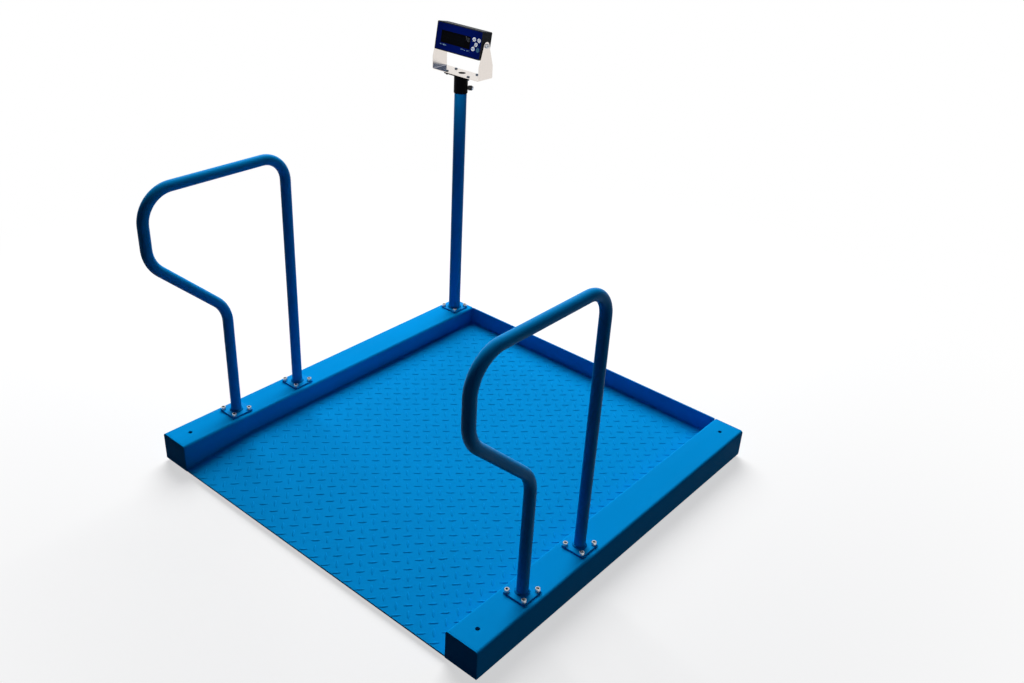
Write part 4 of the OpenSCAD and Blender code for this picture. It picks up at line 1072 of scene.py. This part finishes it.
class OBJECT_OT_scale_head(bpy.types.Operator):
    """Finishes the collar and bracket and makes the clamp knob and the bracket's screws"""

    bl_idname = "object.scale_head"
    bl_label = "Collar and bracket"

    def execute(self, context):
        oxide = smooth_plastic("blued_steel", (0.02, 0.045, 0.08), 0.3)
        finished_copy("swivel_collar", black_coat(), 0.5, "black_coat")
        finished_copy("indicator_bracket", brushed_bracket(), 0.35, "bracket_steel")
        finished_copy("bracket_screws", oxide, 0.3, "black_coat")
        self.make_clamp(context.scene.scale_indicator)
        return {"FINISHED"}

    def make_clamp(self, d):
        """The fluted knob and the screw with its bright domed end."""
        place = Matrix.Translation((POST_X, POST_Y, CLAMP_Z))
        place = place @ CLAMP_AXIS.to_track_quat("Z", "Y").to_matrix().to_4x4()
        r, start, end = d.knob_d / 2, d.knob_start, d.knob_start + d.knob_l
        shaft, bore, edge = 3 * MM, 2.8 * MM, 0.8 * MM
        depth, count, sides = 0.045, 10, 80

        def flutes(turn, height):
            inside = start + edge < height < end - edge
            return 1 - depth * (0.5 + 0.5 * math.cos(count * turn)) ** 2 if inside else 1

        half = [(bore, 0), (r - edge, 0), (r - edge / 3, edge / 3), (r, edge), (r, 1.5 * edge)]
        profile = [(x, start + z) for x, z in half] + [(x, end - z) for x, z in reversed(half)]
        profile.append((bore, start))
        black = smooth_plastic("knob_black", (0.002, 0.002, 0.002), 0.4)
        knob = lathe_data(profile, sides, place, flutes)
        mesh = mesh_of("clamp_knob_fluted", [(knob, black)], math.radians(40))
        add_piece(mesh, black, "clamp", "knob_black", "clamp_knob")

        tip, chamfer, cap = 20.3 * MM, 0.6 * MM, 0.4 * d.knob_d
        rise, dome = 2 * MM, 3 * MM
        profile = [(0, tip), (shaft - chamfer, tip), (shaft, tip + chamfer), (shaft, end),
                   (cap - 0.4 * MM, end), (cap, end + 0.4 * MM), (cap, end + rise)]
        for k in range(1, 5):
            t = math.pi / 10 * k
            profile.append((cap * math.cos(t), end + rise + dome * math.sin(t)))
        profile.append((0, end + rise + dome))
        mesh = mesh_of("clamp_screw_domed", [(lathe_data(profile, 48, place), zinc_plate())])
        add_piece(mesh, zinc_plate(), "clamp", "zinc_steel", "clamp_screw")


class OBJECT_OT_scale_indicator(bpy.types.Operator):
    """Finishes the indicator's housing, face, window and keys"""

    bl_idname = "object.scale_indicator"
    bl_label = "Indicator"

    def execute(self, context):
        black = smooth_plastic("gland_black", (0.015, 0.015, 0.016), 0.45)
        for node, material, radius in (
                ("housing_front", moulded_black(), 0.6), ("housing_back", moulded_black(), 0.8),
                ("cable_gland", black, 0.4), ("power_socket", black, 0.3)):
            finished_copy(node, material, radius, "housing_black")
        paint(rubber("seal_rubber"), "housing_seal")
        paint(face_film(), "face_overlay")
        paint(window_glass(), "display_window", "display_module")
        paint(solder_mask(), "key_board", "main_board")
        paint(smooth_plastic("battery_wrap", (0.35, 0.42, 0.5), 0.3), "battery")
        d = context.scene.scale_indicator
        self.make_keys(d)
        self.make_prints(d)
        self.make_screws(d)
        return {"FINISHED"}

    def on_face(self, d, x, y):
        """Where Z points out of the face, Y up it and the origin is x, y from its middle."""
        flat = Matrix.Translation((x, -d.depth / 2, y - d.drop))
        return TILTED @ flat @ Matrix.Rotation(math.pi / 2, 4, "X")

    def make_keys(self, d):
        """Five round keys, each with its flange behind the face and a printed sign."""
        white = smooth_plastic("key_white", (0.80, 0.83, 0.88), 0.38)
        navy = smooth_plastic("key_teal", (0.0, 0.012, 0.10), 0.38)
        ink = smooth_plastic("key_ink", (0.02, 0.12, 0.42), 0.4)
        teal = smooth_plastic("key_ring", (0.01, 0.16, 0.30), 0.4)
        r, top = d.key_d / 2, d.key_proud
        low, high = top - 0.05 * MM, top + 0.04 * MM
        # Each key's column and row, and the outlines of its sign in tenths of the key's radius
        keys = {
            "zero": (-1, 1, [arc_band(2.6, 3.8), bar(-5.6, 0, 1.6, 1), bar(5.6, 0, 1.6, 1)]),
            "tare": (1, 1, [bar(0, 3.4, 7.4, 1.5), bar(0, -1, 1.5, 7)]),
            "hold": (0, 0, [bar(-2.1, 0, 1.9, 7.6), bar(2.1, 0, 1.9, 7.6)]),
            "print": (-1, -1, [bar(0, -1.5, 8.4, 4), bar(0, 2.6, 5.2, 2.4)]),
            "power": (1, -1, [arc_band(3.2, 4.4, 120, 420), bar(0, 3, 1.3, 4.4),
                              arc_band(7.4, 8.8, steps=40)]),
        }
        flange, base, seat, edge = r + 1.5 * MM, -4.2 * MM, -3.05 * MM, 0.2 * MM
        outer, inner = 0.25 * MM, 0.07 * MM
        profile = [(0, base), (flange - edge, base), (flange, base + edge), (flange, seat - edge),
                   (flange - edge, seat), (r, seat), (r, top - 2 * outer),
                   (r - inner, top - outer), (r - outer, top - inner), (r - 2 * outer, top),
                   (0, top)]
        for name, (across, up, sign) in keys.items():
            place = self.on_face(d, d.key_x + across * d.key_dx, up * d.key_dz)
            cap, mark, slot = white, ink, "key_white"
            if name == "power":
                cap, mark, slot = navy, teal, "key_teal"
            parts = [(lathe_data(profile, 48, place), cap)]
            for outline in sign:
                flat = plate([(x * r / 10, y * r / 10) for x, y in outline], low, high)
                parts.append((moved(flat, place), mark))
            add_piece(mesh_of("key_" + name + "_cap", parts), None, "key_" + name, slot,
                      "key_" + name)

    def make_prints(self, d):
        """The dark digits in the window and the small legends under it."""
        middle = self.on_face(d, 0, 0)
        ghost = smooth_plastic("display_ghost", (0.0028, 0.0034, 0.005), 0.45, gloss=0.012)
        grey = smooth_plastic("display_grey", (0.085, 0.09, 0.1), 0.45, gloss=0.03)
        pale = smooth_plastic("legend_blue", chosen("legend"), 0.4)
        low, high, dot, count, pitch = -0.03 * MM, 0.03 * MM, 1.8 * MM, 6, 1.5 * d.digit_w
        shown = []
        for k in range(count):
            x = d.window_left + (k + 0.85) * pitch
            digit = seven_segments(d.digit_w, d.digit_h, low, high)
            shown.append((moved(digit, middle @ Matrix.Translation((x, 0, 0))), ghost))
            point = bar(x + 0.66 * d.digit_w, -0.47 * d.digit_h, dot, dot)
            shown.append((moved(plate(point, low, high), middle), ghost))

        def lettering(body, x, y, width):
            spot = middle @ Matrix.Translation((x * MM, y * MM, 0))
            return moved(words(body, width * MM, low, high), spot)

        shown.append((lettering("kg", 30, 6, 15), grey))
        add_piece(mesh_of("display_digits", shown), None, "indicator", "window_black")
        legends = [(lettering("MAX 300 kg", -75.5, -25.8, 26), pale),
                   (lettering("MIN 2 kg   e 0.1 kg", 15.4, -25.8, 36), pale)]
        add_piece(mesh_of("face_legends", legends), None, "indicator", "overlay_navy")

    def make_screws(self, d):
        """The two tilt screws with their washers and the four screws of the back cover."""
        sides, hole, inner, outer = 48, 3.1 * MM, d.width / 2, d.width / 2 + 0.7 * MM
        r, inset, sunk = d.head_d / 2, 9 * MM, 2 * MM
        head = socket_screw(d.head_d, d.head_h, socket_flats=4.8 * MM, shank_d=6 * MM,
                            shank_l=11.3 * MM, sides=sides, knurl=0.03)
        washer = lathe_data(
            [(hole, inner), (r, inner), (r, outer), (hole, outer), (hole, inner)], sides)
        parts = []
        for side in (-1, 1):
            place = TILTED @ Matrix.Rotation(side * math.pi / 2, 4, "Y")
            parts.append((moved(washer, place), zinc_plate()))
            parts += screw_parts(head, sides, place @ Matrix.Translation((0, 0, d.head_start)))
        add_piece(mesh_of("tilt_socket_screws", parts, SHARP_CREASE), None, "indicator",
                  "zinc_steel", "tilt_screws")
        sides = 36
        screw = socket_screw(head_d=6 * MM, head_h=1.6 * MM, socket_flats=2.5 * MM,
                             shank_d=3 * MM, shank_l=21 * MM, sides=sides)
        parts = []
        for x, z in CORNERS:
            spot = Vector((x * (d.width / 2 - inset), d.depth / 2 - sunk,
                           z * (d.height / 2 - inset) - d.drop))
            place = TILTED @ Matrix.Translation(spot) @ Matrix.Rotation(-math.pi / 2, 4, "X")
            parts += screw_parts(screw, sides, place)
        add_piece(mesh_of("back_cover_screws", parts, SHARP_CREASE), None, "indicator",
                  "zinc_steel", "housing_screws")


class OBJECT_OT_scale_stage(bpy.types.Operator):
    """Makes the floor, the light and the camera"""

    bl_idname = "object.scale_stage"
    bl_label = "Stage"

    def execute(self, context):
        s = context.scene.scale_stage
        scene = context.scene
        scene.view_settings.view_transform = "Standard"
        size = 30
        corners = [(x * size, y * size, 0) for x, y in ((-1, -1), (1, -1), (1, 1), (-1, 1))]
        floor = linked("floor", mesh_from("floor", corners, [(0, 1, 2, 3)]))
        floor.data.materials.append(self.floor_finish())
        scene.world = self.studio(s.fill)

        far = Vector((-0.68, 0.64, 0.95)).normalized() * s.distance
        self.lamp("window_light", "AREA", CENTRE + far, far, shape="DISK", size=0.9 * s.distance,
                  energy=s.key * math.pi * s.distance ** 2).visible_glossy = False
        self.lamp("rim_light", "SUN", Vector((3, 3, 1)), Vector((0.72, 0.68, 0.08)),
                  energy=s.rim, angle=math.radians(15)).visible_glossy = False
        near = Vector((0.10, -0.62, 0.36))
        self.lamp("face_light", "SPOT", TILTED.translation - Vector((0, 0, 0.035)) + near, near,
                  energy=s.face, shadow_soft_size=0.12, spot_size=math.radians(27),
                  spot_blend=0.5)

        camera = bpy.data.cameras.new("camera")
        camera.lens = s.lens
        camera.sensor_width = 36
        camera.shift_x = -0.0133
        camera.shift_y = -0.0005
        camera.clip_end = 100
        az, el, roll = s.azimuth, s.elevation, s.roll
        back = Vector((math.sin(az) * math.cos(el), -math.cos(az) * math.cos(el), math.sin(el)))
        right = Vector((math.cos(az), math.sin(az), 0))
        up = back.cross(right)
        across = right * math.cos(roll) + up * math.sin(roll)
        upright = up * math.cos(roll) - right * math.sin(roll)
        turned = Matrix((across, upright, back)).transposed().to_4x4()
        turned.translation = Vector(s.place)
        scene.camera = linked("camera", camera)
        scene.camera.matrix_world = turned
        return {"FINISHED"}

    def lamp(self, name, kind, place, away, **settings):
        """A light at a place that shines against the direction away."""
        data = bpy.data.lights.new(name, kind)
        for key, value in settings.items():
            setattr(data, key, value)
        light = linked(name, data)
        light.location = place
        light.rotation_mode = "QUATERNION"
        light.rotation_quaternion = away.to_track_quat("Z", "Y")
        return light

    def seen_rays(self, tree):
        """1 for camera, glossy and transmission rays, which see the plain white background."""
        path = tree.node("ShaderNodeLightPath")
        camera, glossy, through = (Socket(tree, path.outputs["Is %s Ray" % kind])
                                   for kind in ("Camera", "Glossy", "Transmission"))
        return camera.at_least(glossy).at_least(through)

    def studio(self, fill):
        """White where it is seen, darker low down in reflections, and a dim blue as a light."""
        world = bpy.data.worlds.new("studio")
        world.use_nodes = True
        world.node_tree.nodes.clear()
        w = Tree(world.node_tree)
        glossy = w.add("ShaderNodeLightPath", out="Is Glossy Ray")
        x, y, z = w.parts(w.add("ShaderNodeTexCoord", out="Generated"))
        wall = (0.61 * x + 0.79 * y).smooth(0.45, 0.75)
        wall = wall * z.smooth(0.0, 0.12) * z.smooth(0.55, 0.8, 1.0, 0.0)
        seen = self.seen_rays(w) * (1.0 - 0.88 * glossy * wall)
        shade = w.mix(seen, (0.5, 0.85, 1.7), (1.0, 1.0, 1.0))
        w.surface("ShaderNodeOutputWorld",
                  w.add("ShaderNodeBackground", shade, seen * (1.0 - fill) + fill))
        return world

    def floor_finish(self):
        """A pale floor that glows white to the eye away from the object, and keeps its shadow."""
        f = Finish("pale_floor")
        seen = self.seen_rays(f)
        matt = f.add("ShaderNodeBsdfDiffuse", f.mix(seen, (0.02, 0.02, 0.02), (0.98, 0.98, 0.98)))
        glow = f.add("ShaderNodeEmission", (1.0, 1.0, 1.0), 1.0)
        x, y, _ = f.parts(f.coords)
        share = ((x * x + y * y) ** 0.5).smooth(0.9, 2.4, 0.6, 1.0)
        f.surface("ShaderNodeOutputMaterial",
                  f.add("ShaderNodeMixShader", share * seen, matt, glow))
        return f.material


class VIEW3D_PT_wheelchair_scale(bpy.types.Panel):
    """Lists the sizes and the operators of the wheelchair scale"""

    bl_label = "Wheelchair scale"
    bl_idname = "VIEW3D_PT_wheelchair_scale"
    bl_space_type = "VIEW_3D"
    bl_region_type = "UI"
    bl_category = "Scale"

    def draw(self, context):
        layout = self.layout
        for group in PROPERTY_GROUPS:
            box = layout.box()
            values = getattr(context.scene, group)
            for key in values.bl_rna.properties.keys():
                if key not in ("rna_type", "name"):
                    box.prop(values, key)
        for operator in OPERATORS:
            layout.operator(operator.bl_idname)


OPERATORS = (
    OBJECT_OT_scale_stage,
    OBJECT_OT_scale_platform,
    OBJECT_OT_scale_tread,
    OBJECT_OT_scale_welds,
    OBJECT_OT_scale_tubes,
    OBJECT_OT_scale_fixings,
    OBJECT_OT_scale_weighing,
    OBJECT_OT_scale_head,
    OBJECT_OT_scale_indicator,
)
PROPERTY_GROUPS = {
    "scale_platform": ScalePlatform,
    "scale_tubes": ScaleTubes,
    "scale_indicator": ScaleIndicator,
    "scale_finishes": ScaleFinishes,
    "scale_stage": ScaleStage,
}


def register():
    for made in (*PROPERTY_GROUPS.values(), *OPERATORS, VIEW3D_PT_wheelchair_scale):
        bpy.utils.register_class(made)
    for name, group in PROPERTY_GROUPS.items():
        setattr(bpy.types.Scene, name, PointerProperty(type=group))


def unregister():
    for name in PROPERTY_GROUPS:
        delattr(bpy.types.Scene, name)
    for made in reversed((*PROPERTY_GROUPS.values(), *OPERATORS, VIEW3D_PT_wheelchair_scale)):
        bpy.utils.unregister_class(made)


def main():
    register()
    for operator in OPERATORS:
        family, call = operator.bl_idname.split(".")
        getattr(getattr(bpy.ops, family), call)()


if __name__ == "__main__":
    main()
